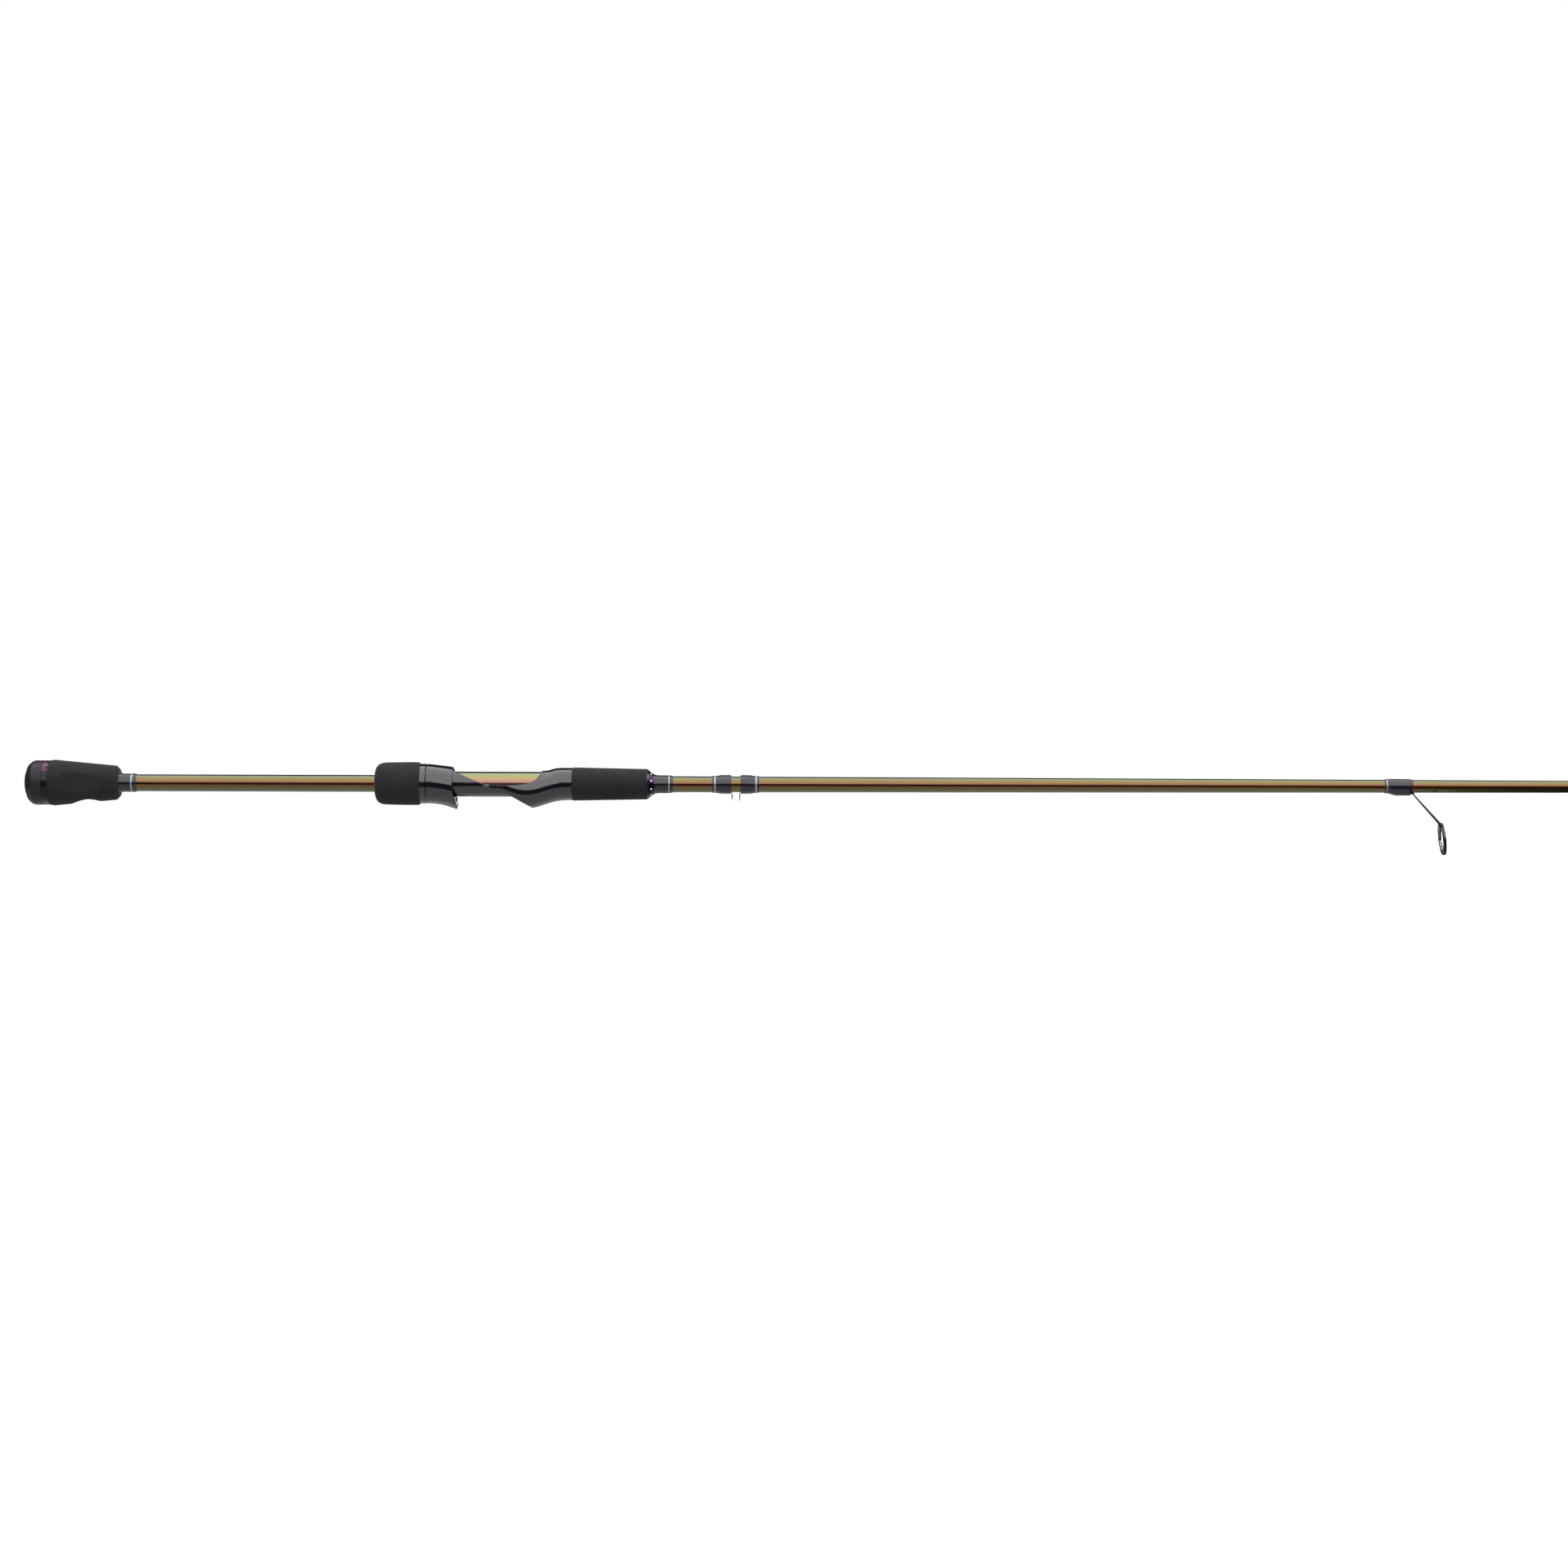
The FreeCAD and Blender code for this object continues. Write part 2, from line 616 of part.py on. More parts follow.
hood = new_body("hood_body")
loft(hood, "hood_outside", [
    ("hood_start", "0", "hood_radius"),
    ("hood_start + 4", "0.2", "hood_radius"),
    ("hood_start + 9.5", "0.9", "hood_radius + 0.05"),
    ("hood_start + 15", "2.0", "hood_radius + 0.45"),
    ("hood_start + 18.5", "2.9", "hood_radius + 0.75"),
    ("hood_start + 21", "3.4", "hood_radius + 0.9"),
])
side_cut(hood, "hood_front", hood_rim("0"))
loft(hood, "hood_foot_pocket", HOOD_POCKET, "SubtractiveLoft", True)
revolve(hood, "hood_collar", [
    ("nut_end - 2 * flange_width", "thread_radius + running_fit"),
    ("nut_end - 2 * flange_width", "neck_flange"),
    ("nut_end - flange_width", "neck_flange"),
    ("nut_end - flange_width", "neck_radius"),
    ("hood_start + 0.5", "neck_radius"),
    ("hood_start + 0.5", "thread_radius + running_fit"),
])
revolve(hood, "hood_bore", [
    ("nut_end - 3", "0"),
    ("nut_end - 3", "thread_radius + running_fit"),
    ("hood_lip + 3", "thread_radius + running_fit"),
    ("hood_lip + 3", "0"),
], "Groove")
side_cut(hood, "hood_key", [
    ("hood_start + 1.4", "key_floor + 0.2"),
    ("hood_rim - 2", "key_floor + 0.2"),
    ("hood_rim - 2", "thread_radius + 0.6"),
    ("hood_start + 1.4", "thread_radius + 0.6"),
], "key_width", "Pad")
node(hood, "hood")

liner = new_body("liner_body")
loft(liner, "liner_outside", HOOD_POCKET, "AdditiveLoft", True)
loft(liner, "liner_inside", [
    (HOOD_POCKET[0][0], HOOD_POCKET[0][1], HOOD_POCKET[0][2] + " - liner_thickness"),
    (HOOD_POCKET[1][0], HOOD_POCKET[1][1], HOOD_POCKET[1][2] + " - liner_thickness"),
], "SubtractiveLoft", True)
side_cut(liner, "liner_lower", [
    ("200", "-thread_radius"),
    ("400", "-thread_radius"),
    ("400", "30"),
    ("200", "30"),
])
side_cut(liner, "liner_rear", [
    ("200", "-30"),
    ("hood_start + 10", "-30"),
    ("hood_start + 10", "0"),
    ("200", "0"),
])
side_cut(liner, "liner_front", hood_rim("liner_proud"))
node(liner, "hood_liner")

# --- locking nut -------------------------------------------------------------------------------

node(turned("nut_core_body", [
    ("nut_wall_end", "thread_radius + running_fit"),
    ("nut_wall_end", "nut_core_radius"),
    ("nut_grip_end", "nut_core_radius"),
    ("nut_grip_end", "nut_flange_radius"),
    ("nut_end - 0.4", "nut_flange_radius"),
    ("nut_end", "nut_flange_radius - 0.4"),
    ("nut_end", "neck_radius + clearance"),
    ("nut_end - flange_width + clearance", "neck_radius + clearance"),
    ("nut_end - flange_width + clearance", "neck_flange + clearance"),
    ("nut_end - 2 * flange_width - clearance", "neck_flange + clearance"),
    ("nut_end - 2 * flange_width - clearance", "thread_radius + running_fit"),
]), "nut_core")

node(turned("nut_grip_body", [
    ("nut_start", "nut_hole"),
    ("nut_start", "nut_hole + 0.9"),
    ("nut_start + 7.1", "nut_radius - 0.42", "-7.4"),
    ("nut_start + 21", "nut_radius"),
    ("nut_grip_end - 1.8", "nut_radius"),
    ("nut_grip_end", "nut_radius - 1.0", "-2"),
    ("nut_grip_end", "nut_core_radius"),
    ("nut_wall_end", "nut_core_radius"),
    ("nut_wall_end", "nut_hole"),
]), "nut_grip")

# --- fore grip, winding checks and fore wrap ---------------------------------------------------

node(turned("fore_grip_body", [
    ("seat_end", blank_radius("seat_end")),
    ("seat_end", "collar_radius"),
    ("seat_end + 1.5", "fore_start_radius", "-3"),
    ("fore_end", "fore_end_radius"),
    ("fore_end", blank_radius("fore_end")),
]), "fore_grip")

node(turned("cone", [
    ("fore_end", blank_radius("fore_end")),
    ("fore_end", "fore_end_radius"),
    ("cone_end", "cone_end_radius"),
    ("cone_end", blank_radius("cone_end")),
]), "fore_check_cone")

STUD_STATION = "(cone_end + ring_end) / 2"
STUD_REACH = "(cone_end_radius + ring_end_radius) / 2"
ring = turned("ring", [
    ("cone_end", blank_radius("cone_end")),
    ("cone_end", "cone_end_radius"),
    ("ring_end", "ring_end_radius"),
    ("ring_end", blank_radius("ring_end")),
])
studs = []
for number in range(int(value("stud_count"))):
    stud = document.addObject("Part::Sphere", "stud_%d" % number)
    stud.setExpression("Radius", bound("stud_radius"))
    turn = "(%d * 360 / stud_count + 6)" % number
    stud.setExpression(".Placement.Base.x", bound(STUD_STATION))
    stud.setExpression(".Placement.Base.y", bound("%s * sin(%s)" % (STUD_REACH, turn)))
    stud.setExpression(".Placement.Base.z", bound("%s * cos(%s)" % (STUD_REACH, turn)))
    studs.append(stud)
stud_set = together("Compound", "stud_set", studs)
node(combine("Cut", "ring_with_seats", ring, stud_set), "fore_check_ring")
node(stud_set, "fore_check_studs")

FORE_TRIM = ("fore_wrap_end - 3.0", "fore_wrap_end - 2.2")
node(wrap("fore_wrap_body", [
    ("ring_end", "1.45"),
    ("ring_end + 1.4", "0.8"),
    ("ring_end + 3.2", "0.55"),
    ("fore_wrap_end - 2.2", "0.55"),
    ("fore_wrap_end", "0.08"),
], FORE_TRIM), "fore_wrap")
node(trim("fore_trim_band", *FORE_TRIM, "0.6"), "fore_trim")

# --- hook keeper -------------------------------------------------------------------------------

WIRE_REST = "(radius_one - 0.1 + keeper_wire / 2)"
FRONT_LEG = "keeper_rear_leg + keeper_width"
TURN = "keeper_drop - keeper_width / 2"
keeper = new_body("keeper_body")
path = new_sketch(keeper, "XZ_Plane", "keeper_path")
outline(path, (
    ("keeper_start + 3.4", "-" + WIRE_REST),
    ("keeper_rear_leg - keeper_bend", "-" + WIRE_REST),
    ("keeper_rear_leg", "-%s - keeper_bend" % WIRE_REST, "-keeper_bend"),
    ("keeper_rear_leg", "-(%s)" % TURN),
    (FRONT_LEG, "-(%s)" % TURN, "+keeper_width / 2"),
    (FRONT_LEG, "-%s - keeper_bend" % WIRE_REST),
    (FRONT_LEG + " + keeper_bend", "-" + WIRE_REST, "-keeper_bend"),
    ("keeper_end - 3.4", "-" + WIRE_REST),
), closed=False)
section = new_sketch(keeper, "YZ_Plane", "keeper_section", "keeper_start + 3.4")
edge = section.addGeometry(Part.Circle(
    FreeCAD.Vector(0, -value(WIRE_REST), 0), FreeCAD.Vector(0, 0, 1), value("keeper_wire / 2")))
size = section.addConstraint(Sketcher.Constraint("Radius", edge, value("keeper_wire / 2")))
section.setExpression("Constraints[%d]" % size, bound("keeper_wire / 2"))
locate(section, edge, 3, "0", "-" + WIRE_REST)
pipe = keeper.newObject("PartDesign::AdditivePipe", "keeper_pipe")
pipe.Profile = section
pipe.Spine = path
pipe.Mode = "Frenet"
keeper_cut = combine("Cut", "keeper_seated", keeper, envelope)
node(keeper_cut, "hook_keeper")

KEEPER_TRIMS = {
    "rear": ("keeper_start + 1.3", "keeper_start + 2.4"),
    "front": ("keeper_end - 2.4", "keeper_end - 1.3"),
}
KEEPER_WRAPS = {
    "rear": [
        ("keeper_start", "0.06"),
        ("keeper_start + 0.8", "0.32"),
        ("keeper_start + 3.2", "0.36"),
        ("keeper_start + 5.4", "0.85"),
        ("keeper_rear_leg - 1.6", "0.95"),
        ("keeper_rear_leg - 0.5", "0.7"),
    ],
    "front": [
        (FRONT_LEG + " + 0.5", "0.7"),
        (FRONT_LEG + " + 1.6", "0.95"),
        ("keeper_end - 5.4", "0.85"),
        ("keeper_end - 3.2", "0.36"),
        ("keeper_end - 0.8", "0.32"),
        ("keeper_end", "0.06"),
    ],
}
bands = []
for end in ("rear", "front"):
    body = wrap("keeper_wrap_%s_body" % end, KEEPER_WRAPS[end], KEEPER_TRIMS[end])
    node(combine("Cut", "keeper_wrap_%s_cut" % end, body, keeper_cut), "keeper_wrap_" + end)
    bands.append(trim("keeper_trim_" + end, *KEEPER_TRIMS[end], "0.4"))
node(together("Compound", "keeper_bands", bands), "keeper_trims")

# --- line guides -------------------------------------------------------------------------------


def ring_sizes(outer):
    """Expressions for a guide ring's parts, from its outside diameter."""
    return {
        "hoop_wall": "(0.25 + 0.056 * %s)" % outer,
        "insert_wall": "(0.35 + 0.058 * %s)" % outer,
        "half_width": "(0.35 + 0.03 * %s)" % outer,
    }


def hoop(name, outer, along, up):
    """The metal hoop of a guide, chamfered on its outside."""
    sizes = ring_sizes(outer)
    rim = "(%s / 2)" % outer
    half = sizes["half_width"]
    bore = "%s - %s" % (rim, sizes["hoop_wall"])
    body = turned(name, [
        ("-" + half, bore),
        ("-" + half, rim + " - 0.3 * " + half),
        ("-0.6 * " + half, rim),
        ("0.6 * " + half, rim),
        (half, rim + " - 0.3 * " + half),
        (half, bore),
    ])
    return place(body, along, up, "-guide_lean")


def insert(name, outer, along, up):
    """The ceramic insert of a guide, with a round bore edge."""
    sizes = ring_sizes(outer)
    rim = "(%s / 2 - %s)" % (outer, sizes["hoop_wall"])
    half = "(%s + 0.2)" % sizes["half_width"]
    bore = "(%s - %s)" % (rim, sizes["insert_wall"])
    body = turned(name, [
        ("-" + half, rim),
        (half, rim),
        (half, rim + " - 0.25 * " + sizes["insert_wall"]),
        ("0.3 * " + half, bore, "-0.9 * " + half),
        ("-0.3 * " + half, bore),
        ("-" + half, rim + " - 0.25 * " + sizes["insert_wall"], "-0.9 * " + half),
    ])
    return place(body, along, up, "-guide_lean")


def guide(number):
    """One single-foot guide: frame, ceramic insert and wrap; returns the wrap's trim band."""
    name = "guide_%d" % number
    along = name + "_station"
    outer = name + "_outside"
    drop = name + "_drop"
    sizes = ring_sizes(outer)
    mid = "(%s / 2 - %s / 2)" % (outer, sizes["hoop_wall"])
    top_x = "(%s - %s * sin(guide_lean))" % (along, mid)
    top_z = "(%s - %s * cos(guide_lean) * 0.91)" % (drop, mid)
    foot_thick = "(0.5 + 0.03 * %s)" % outer
    foot_wide = "(1.0 + 0.06 * %s)" % outer
    foot_z = "(%s + %s / 2)" % (blank_radius(along), foot_thick)
    foot_end = "(%s - (%s - %s) * leg_slope)" % (top_x, top_z, foot_z)
    foot_start = "(%s - 8 - 0.42 * %s)" % (foot_end, outer)
    pieces = [hoop(name + "_hoop", outer, along, "-" + drop)]
    for side, sign in (("left", "-"), ("right", "")):
        pieces.append(bar(
            "%s_leg_%s" % (name, side),
            (foot_end + " - 0.9", sign + "0.2 * " + foot_wide, "-" + foot_z,
             "0.25 + 0.014 * " + outer),
            (top_x + " + 0.2", sign + mid + " * 0.4", "-" + top_z, "0.3 + 0.02 * " + outer)))
    foot = document.addObject("Part::Wedge", name + "_foot")
    foot.Ymin = 0
    foot.setExpression("Ymax", bound("8 + 0.42 * " + outer))
    foot.setExpression("Xmin", bound("-0.25 * " + foot_wide))
    foot.setExpression("Xmax", bound("0.25 * " + foot_wide))
    foot.setExpression("X2min", bound("-0.5 * " + foot_wide))
    foot.setExpression("X2max", bound("0.5 * " + foot_wide))
    foot.Zmin = -0.2
    foot.setExpression("Z2min", bound("-" + foot_thick))
    foot.Zmax = 0.6
    foot.Z2max = 0.6
    foot.Placement = FreeCAD.Placement(
        FreeCAD.Vector(0, 0, 0), FreeCAD.Rotation(FreeCAD.Vector(0, 0, 1), -90))
    foot.setExpression(".Placement.Base.x", bound(foot_start))
    foot.setExpression(".Placement.Base.z", bound("-" + blank_radius(along)))
    pieces.append(foot)
    fused = together("MultiFuse", name + "_joined", pieces)
    seat_tool = document.addObject("Part::Cylinder", name + "_seat")
    seat_tool.setExpression("Radius", bound("%s / 2 - %s" % (outer, sizes["hoop_wall"])))
    seat_tool.Height = 12
    seat_tool.Placement = FreeCAD.Placement(
        FreeCAD.Vector(0, 0, 0), FreeCAD.Rotation(FreeCAD.Vector(0, 1, 0), 80))
    seat_tool.setExpression(".Placement.Rotation.Angle", bound("90 - guide_lean"))
    seat_tool.setExpression(".Placement.Base.x", bound("%s - 6 * cos(guide_lean)" % along))
    seat_tool.setExpression(".Placement.Base.z", bound("-%s - 6 * sin(guide_lean)" % drop))
    opened = combine("Cut", name + "_opened", fused, seat_tool)
    frame = combine("Cut", name + "_seated", opened, envelope)
    node(frame, name + "_frame")
    node(insert(name + "_insert", outer, along, "-" + drop), name + "_ring")

    start = foot_start + " - 2.2"
    end = foot_end + " - 2.2"
    band = (foot_start + " - 1.2", foot_start + " - 0.4")
    body = wrap(name + "_winding", [
        (start, "0.08"),
        (start + " + 0.7", "wrap_thickness * 0.7"),
        (foot_start + " - 0.2", "wrap_thickness * 0.75"),
        (foot_start + " + 1.5", "wrap_thickness"),
        (end + " - 0.8", "wrap_thickness"),
        (end, "wrap_thickness * 0.3"),
    ], band)
    lobe = bar(
        name + "_lobe",
        (foot_start + " - 0.3", "0", "-%s + 0.5" % blank_radius(along), "0.8"),
        (end, "0", "-%s + 0.4" % blank_radius(along), "%s + 0.85" % foot_thick))
    whole = combine("Fuse", name + "_covered", body, lobe)
    around_foot = combine("Cut", name + "_wound", whole, fused)
    node(combine("Cut", name + "_wrapped", around_foot, envelope), name + "_wrap")
    return trim(name + "_band", *band, "wrap_thickness * 0.9")


bands = [guide(number) for number in range(1, 9)]
node(together("Compound", "guide_bands", bands), "guide_trims")

# --- tip-top -----------------------------------------------------------------------------------

TIP_STATION = "(rod_length - 1.2)"
tip_sizes = ring_sizes("tip_outside")
tip_mid = "(tip_outside / 2 - %s / 2)" % tip_sizes["hoop_wall"]
tip_pieces = [hoop("tip_hoop", "tip_outside", TIP_STATION, "-tip_drop")]
tip_pieces.append(turned("tip_tube", [
    ("tip_tube_start", "0"),
    ("tip_tube_start", "1.45"),
    ("blank_end + 0.4", "1.45"),
    ("blank_end + 1.2", "0.9"),
    ("blank_end + 1.2", "0"),
]))
for side, sign in (("left", "-"), ("right", "")):
    tip_pieces.append(bar(
        "tip_leg_" + side,
        ("blank_end - 1.0", sign + "0.9", "-0.9", "0.45"),
        (TIP_STATION, sign + "%s * 0.6" % tip_mid, "-tip_drop + %s * 0.8" % tip_mid, "0.4")))
tip_joined = together("MultiFuse", "tip_joined", tip_pieces)
tip_tool = document.addObject("Part::Cylinder", "tip_seat")
tip_tool.setExpression("Radius", bound("tip_outside / 2 - " + tip_sizes["hoop_wall"]))
tip_tool.Height = 6
tip_tool.Placement = FreeCAD.Placement(
    FreeCAD.Vector(0, 0, 0), FreeCAD.Rotation(FreeCAD.Vector(0, 1, 0), 80))
tip_tool.setExpression(".Placement.Rotation.Angle", bound("90 - guide_lean"))
tip_tool.setExpression(".Placement.Base.x", bound("%s - 3 * cos(guide_lean)" % TIP_STATION))
tip_tool.setExpression(".Placement.Base.z", bound("-tip_drop - 3 * sin(guide_lean)"))
tip_opened = combine("Cut", "tip_opened", tip_joined, tip_tool)
tip_bore = turned("tip_bore", [
    ("tip_tube_start - 1", "0"),
    ("tip_tube_start - 1", blank_radius("tip_tube_start - 1")),
    ("blank_end", "tip_radius"),
    ("blank_end", "0"),
])
node(combine("Cut", "tip_frame", tip_opened, tip_bore), "tip_top_frame")
node(insert("tip_insert", "tip_outside", TIP_STATION, "-tip_drop"), "tip_top_ring")

TIP_TRIM = ("tip_tube_start - 4.6", "tip_tube_start - 3.8")
node(wrap("tip_winding", [
    ("tip_tube_start - 6", "0.06"),
    ("tip_tube_start - 5.2", "0.3"),
    ("tip_tube_start - 0.6", "0.34"),
    ("tip_tube_start", "0.2"),
], TIP_TRIM), "tip_wrap")
node(trim("tip_band", *TIP_TRIM, "0.38"), "tip_trim")

# --- check and export --------------------------------------------------------------------------

document.recompute()
for item in document.Objects:
    if "Invalid" in item.State or "Error" in item.State:
        raise RuntimeError("%s did not recompute: %s" % (item.Label, item.State))
os.makedirs("parts", exist_ok=True)
for item in EXPORTED:
    if item.Shape.isNull() or not item.Shape.isValid():
        raise RuntimeError("%s has no valid shape" % item.Label)
for item in EXPORTED:
    item.Shape.exportStep("parts/%s.step" % item.Label)
print("%d sub-parts written" % len(EXPORTED))
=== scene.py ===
import json
import math

import bpy
from mathutils import Matrix, Vector


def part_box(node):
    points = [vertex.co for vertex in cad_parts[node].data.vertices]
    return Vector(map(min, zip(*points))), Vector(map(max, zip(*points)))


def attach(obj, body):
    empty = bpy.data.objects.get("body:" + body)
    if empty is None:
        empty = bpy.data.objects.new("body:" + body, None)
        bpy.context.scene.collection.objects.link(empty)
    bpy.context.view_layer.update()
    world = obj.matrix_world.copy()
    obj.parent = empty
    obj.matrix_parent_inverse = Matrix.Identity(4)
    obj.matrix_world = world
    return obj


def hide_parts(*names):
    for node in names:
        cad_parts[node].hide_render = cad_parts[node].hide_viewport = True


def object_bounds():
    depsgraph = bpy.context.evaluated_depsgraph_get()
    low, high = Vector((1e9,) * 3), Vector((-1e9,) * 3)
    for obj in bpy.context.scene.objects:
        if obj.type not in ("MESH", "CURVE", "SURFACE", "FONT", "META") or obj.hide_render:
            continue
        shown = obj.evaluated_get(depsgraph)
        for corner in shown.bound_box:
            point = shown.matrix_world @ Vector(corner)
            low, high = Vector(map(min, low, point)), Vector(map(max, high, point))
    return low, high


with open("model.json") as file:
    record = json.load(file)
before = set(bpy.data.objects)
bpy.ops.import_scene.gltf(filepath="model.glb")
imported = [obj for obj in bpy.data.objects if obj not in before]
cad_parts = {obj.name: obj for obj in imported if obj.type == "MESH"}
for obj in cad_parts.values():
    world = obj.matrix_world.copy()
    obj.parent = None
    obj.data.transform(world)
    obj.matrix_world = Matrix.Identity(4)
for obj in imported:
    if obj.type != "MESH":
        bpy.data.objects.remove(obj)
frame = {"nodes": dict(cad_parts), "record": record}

# A spinning rod, dressed over its imported CAD frame. The foam grips, the cap, the collar, the steel
# lip of the sliding hood's pocket, a dark sheet inside that pocket that paints its shade, and the
# guides' windings and edge threads are new meshes.
# Every other piece keeps its CAD shape and gets a procedural finish. Profiles below are in
# millimetres along and out from the blank's axis, and MM turns them into metres. Material sizes
# are in metres throughout.

CAD_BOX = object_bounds()
MM = 0.001


def at(node, side):
    """A CAD node's rear (0) or front (1) end along the rod, in millimetres."""
    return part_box(node)[side].x / MM


# --- materials ---------------------------------------------------------------------------------

BEVEL_SAMPLES = 6
ORANGE_PEEL = 0.000012
METAL_EDGE = 0.0002
WORN_EDGE = (0.06, 0.06, 0.06, 1)
THREAD_ROUGHNESS = (0.35, 0.55)
FLECK_PATCHES = 3.0
FLECK_START = 1.95


class Look:
    """A node material round one Principled shader. Plain values go on the shader's sockets."""

    def __init__(self, name, **sockets):
        self.material = bpy.data.materials.new(name)
        self.material.use_nodes = True
        self.tree = self.material.node_tree
        self.shader = self.tree.nodes["Principled BSDF"]
        for label, value in sockets.items():
            self.shader.inputs[label.replace("_", " ")].default_value = value
        self.place = self.node("ShaderNodeTexCoord").outputs["Object"]

    def node(self, kind, inputs=None, **settings):
        made = self.tree.nodes.new(kind)
        for label, value in settings.items():
            setattr(made, label, value)
        for label, value in (inputs or {}).items():
            if isinstance(value, bpy.types.NodeSocket):
                self.tree.links.new(value, made.inputs[label])
            else:
                made.inputs[label].default_value = value
        return made

    def drive(self, label, output):
        self.tree.links.new(output, self.shader.inputs[label])

    def stretched(self, along, round_it):
        """Coordinates scaled along the rod and across it."""
        scale = (along, round_it, round_it)
        return self.node("ShaderNodeMapping", {"Vector": self.place, "Scale": scale}).outputs[0]

    def math(self, operation, first, second=0.0, third=0.0):
        inputs = {0: first, 1: second}
        if operation == "MULTIPLY_ADD":
            inputs[2] = third
        return self.node("ShaderNodeMath", inputs, operation=operation).outputs[0]

    def remap(self, value, low, high, start=0.0, stop=1.0):
        made = self.node("ShaderNodeMapRange", {0: value, 1: low, 2: high, 3: start, 4: stop})
        return made.outputs[0]

    def noise(self, size, detail=2.0, where=None):
        """Soft noise with blobs of about the given size, in the units of its coordinates."""
        where = self.place if where is None else where
        inputs = {"Vector": where, "Scale": 1.0 / size, "Detail": detail}
        return self.node("ShaderNodeTexNoise", inputs).outputs[0]

    def cells(self, size):
        """Distance to the middle of the nearest foam cell."""
        made = self.node("ShaderNodeTexVoronoi", {"Vector": self.place, "Scale": 1.0 / size})
        return made.outputs["Distance"]

    def mix(self, factor, first, second):
        made = self.node("ShaderNodeMix", {0: factor, 6: first, 7: second}, data_type="RGBA")
        return made.outputs[2]

    def ramp(self, factor, stops):
        made = self.node("ShaderNodeValToRGB", {0: factor})
        steps = made.color_ramp.elements
        steps[0].position, steps[0].color = stops[0][0], (*stops[0][1], 1)
        steps[1].position, steps[1].color = stops[-1][0], (*stops[-1][1], 1)
        for position, colour in stops[1:-1]:
            steps.new(position).color = (*colour, 1)
        return made.outputs[0]

    def bump(self, height, depth, onto=None):
        """Surface relief of the given depth."""
        inputs = {"Height": height, "Distance": depth, "Strength": 1.0}
        if onto is not None:
            inputs["Normal"] = onto
        return self.node("ShaderNodeBump", inputs).outputs[0]

    def rounded_edges(self, radius):
        return self.node("ShaderNodeBevel", {"Radius": radius}, samples=BEVEL_SAMPLES).outputs[0]

    def edges(self, radius):
        """1 along sharp edges, 0 on open surface."""
        bent = self.rounded_edges(radius)
        true = self.node("ShaderNodeNewGeometry").outputs["Normal"]
        made = self.node("ShaderNodeVectorMath", {0: bent, 1: true}, operation="DOT_PRODUCT")
        return self.remap(made.outputs["Value"], 0.995, 0.90)

    def ripple(self, pitch):
        """Even rounded ridges along the rod, 0 to 1."""
        along = self.node("ShaderNodeSeparateXYZ", {0: self.place}).outputs["X"]
        turned = self.math("MULTIPLY", along, math.tau / pitch)
        return self.math("MULTIPLY_ADD", self.math("SINE", turned), 0.5, 0.5)


def shifting_paint(name, stops, flake=0.06):
    """Metallic paint under clear coat, copper where it faces sideways and green up and down. The
    grade is painted light: it stands in for the paint's colour shift with the viewing angle, and it
    darkens to near black where the surface faces straight up and down.
    """
    look = Look(name, Metallic=1.0, Coat_Weight=0.5, Coat_Roughness=0.03, Coat_IOR=1.5)
    facing = look.node("ShaderNodeTexCoord").outputs["Normal"]
    height = look.math("ABSOLUTE", look.node("ShaderNodeSeparateXYZ", {0: facing}).outputs["Z"])
    drift = look.math("MULTIPLY_ADD", look.noise(0.05, 2.0), 0.06, -0.03)
    shade = look.ramp(look.math("ADD", height, drift), stops)
    specks = look.remap(look.noise(0.00035, 1.0), 0.3, 0.7, 1.0 - flake, 1.0 + flake)
    bright = look.node("ShaderNodeVectorMath", {0: shade, 3: specks}, operation="SCALE")
    look.drive("Base Color", bright.outputs[0])
    look.drive("Normal", look.bump(look.noise(0.0004, 1.0), 0.000004))
    look.drive("Coat Normal", look.bump(look.noise(0.004, 2.0), 0.000004))
    look.drive("Roughness", look.remap(look.noise(0.03, 3.0), 0.3, 0.7, 0.20, 0.27))
    return look


# The two tables below give colour against how far the surface faces up and down, set from lit shades:
# painted reflection colour for the paint's colour shift, darkening to near black at the ends.
BLANK_SHADES = (
    (0.00, (0.080, 0.024, 0.007)),
    (0.27, (0.080, 0.035, 0.007)),
    (0.42, (0.081, 0.050, 0.009)),
    (0.60, (0.078, 0.063, 0.013)),
    (0.80, (0.056, 0.064, 0.028)),
    (0.92, (0.020, 0.034, 0.016)),
    (1.00, (0.004, 0.014, 0.006)),
)
SLEEVE_SHADES = (
    (0.00, (0.135, 0.058, 0.046)),
    (0.20, (0.140, 0.068, 0.046)),
    (0.42, (0.140, 0.092, 0.036)),
    (0.62, (0.112, 0.108, 0.034)),
    (0.84, (0.078, 0.106, 0.048)),
    (0.94, (0.026, 0.052, 0.024)),
    (1.00, (0.005, 0.018, 0.008)),
)


def foam_look():
    look = Look("foam", Specular_IOR_Level=0.13, Sheen_Weight=0.035, Sheen_Roughness=0.5)
    pores = look.remap(look.cells(0.00042), 0.05, 0.55)
    fine = look.noise(0.0009, 4.0)
    patches = look.noise(0.009, 3.0)
    tone = look.mix(look.remap(patches, 0.3, 0.7), (0.0074, 0.0068, 0.0086, 1),
                    (0.0104, 0.0096, 0.0116, 1))
    # Darker in the pits of the foam cells: painted shade, with random tone from the fine noise and
    # the patches.
    speck = look.mix(look.remap(look.math("ADD", pores, fine), 0.5, 1.4), (0.0045, 0.0043, 0.0052, 1),
                     tone)
    look.drive("Base Color", speck)
    look.drive("Roughness", look.remap(fine, 0.3, 0.7, 0.78, 0.95))
    relief = look.bump(pores, 0.00006)
    look.drive("Normal", look.bump(fine, 0.00018, relief))
    return look


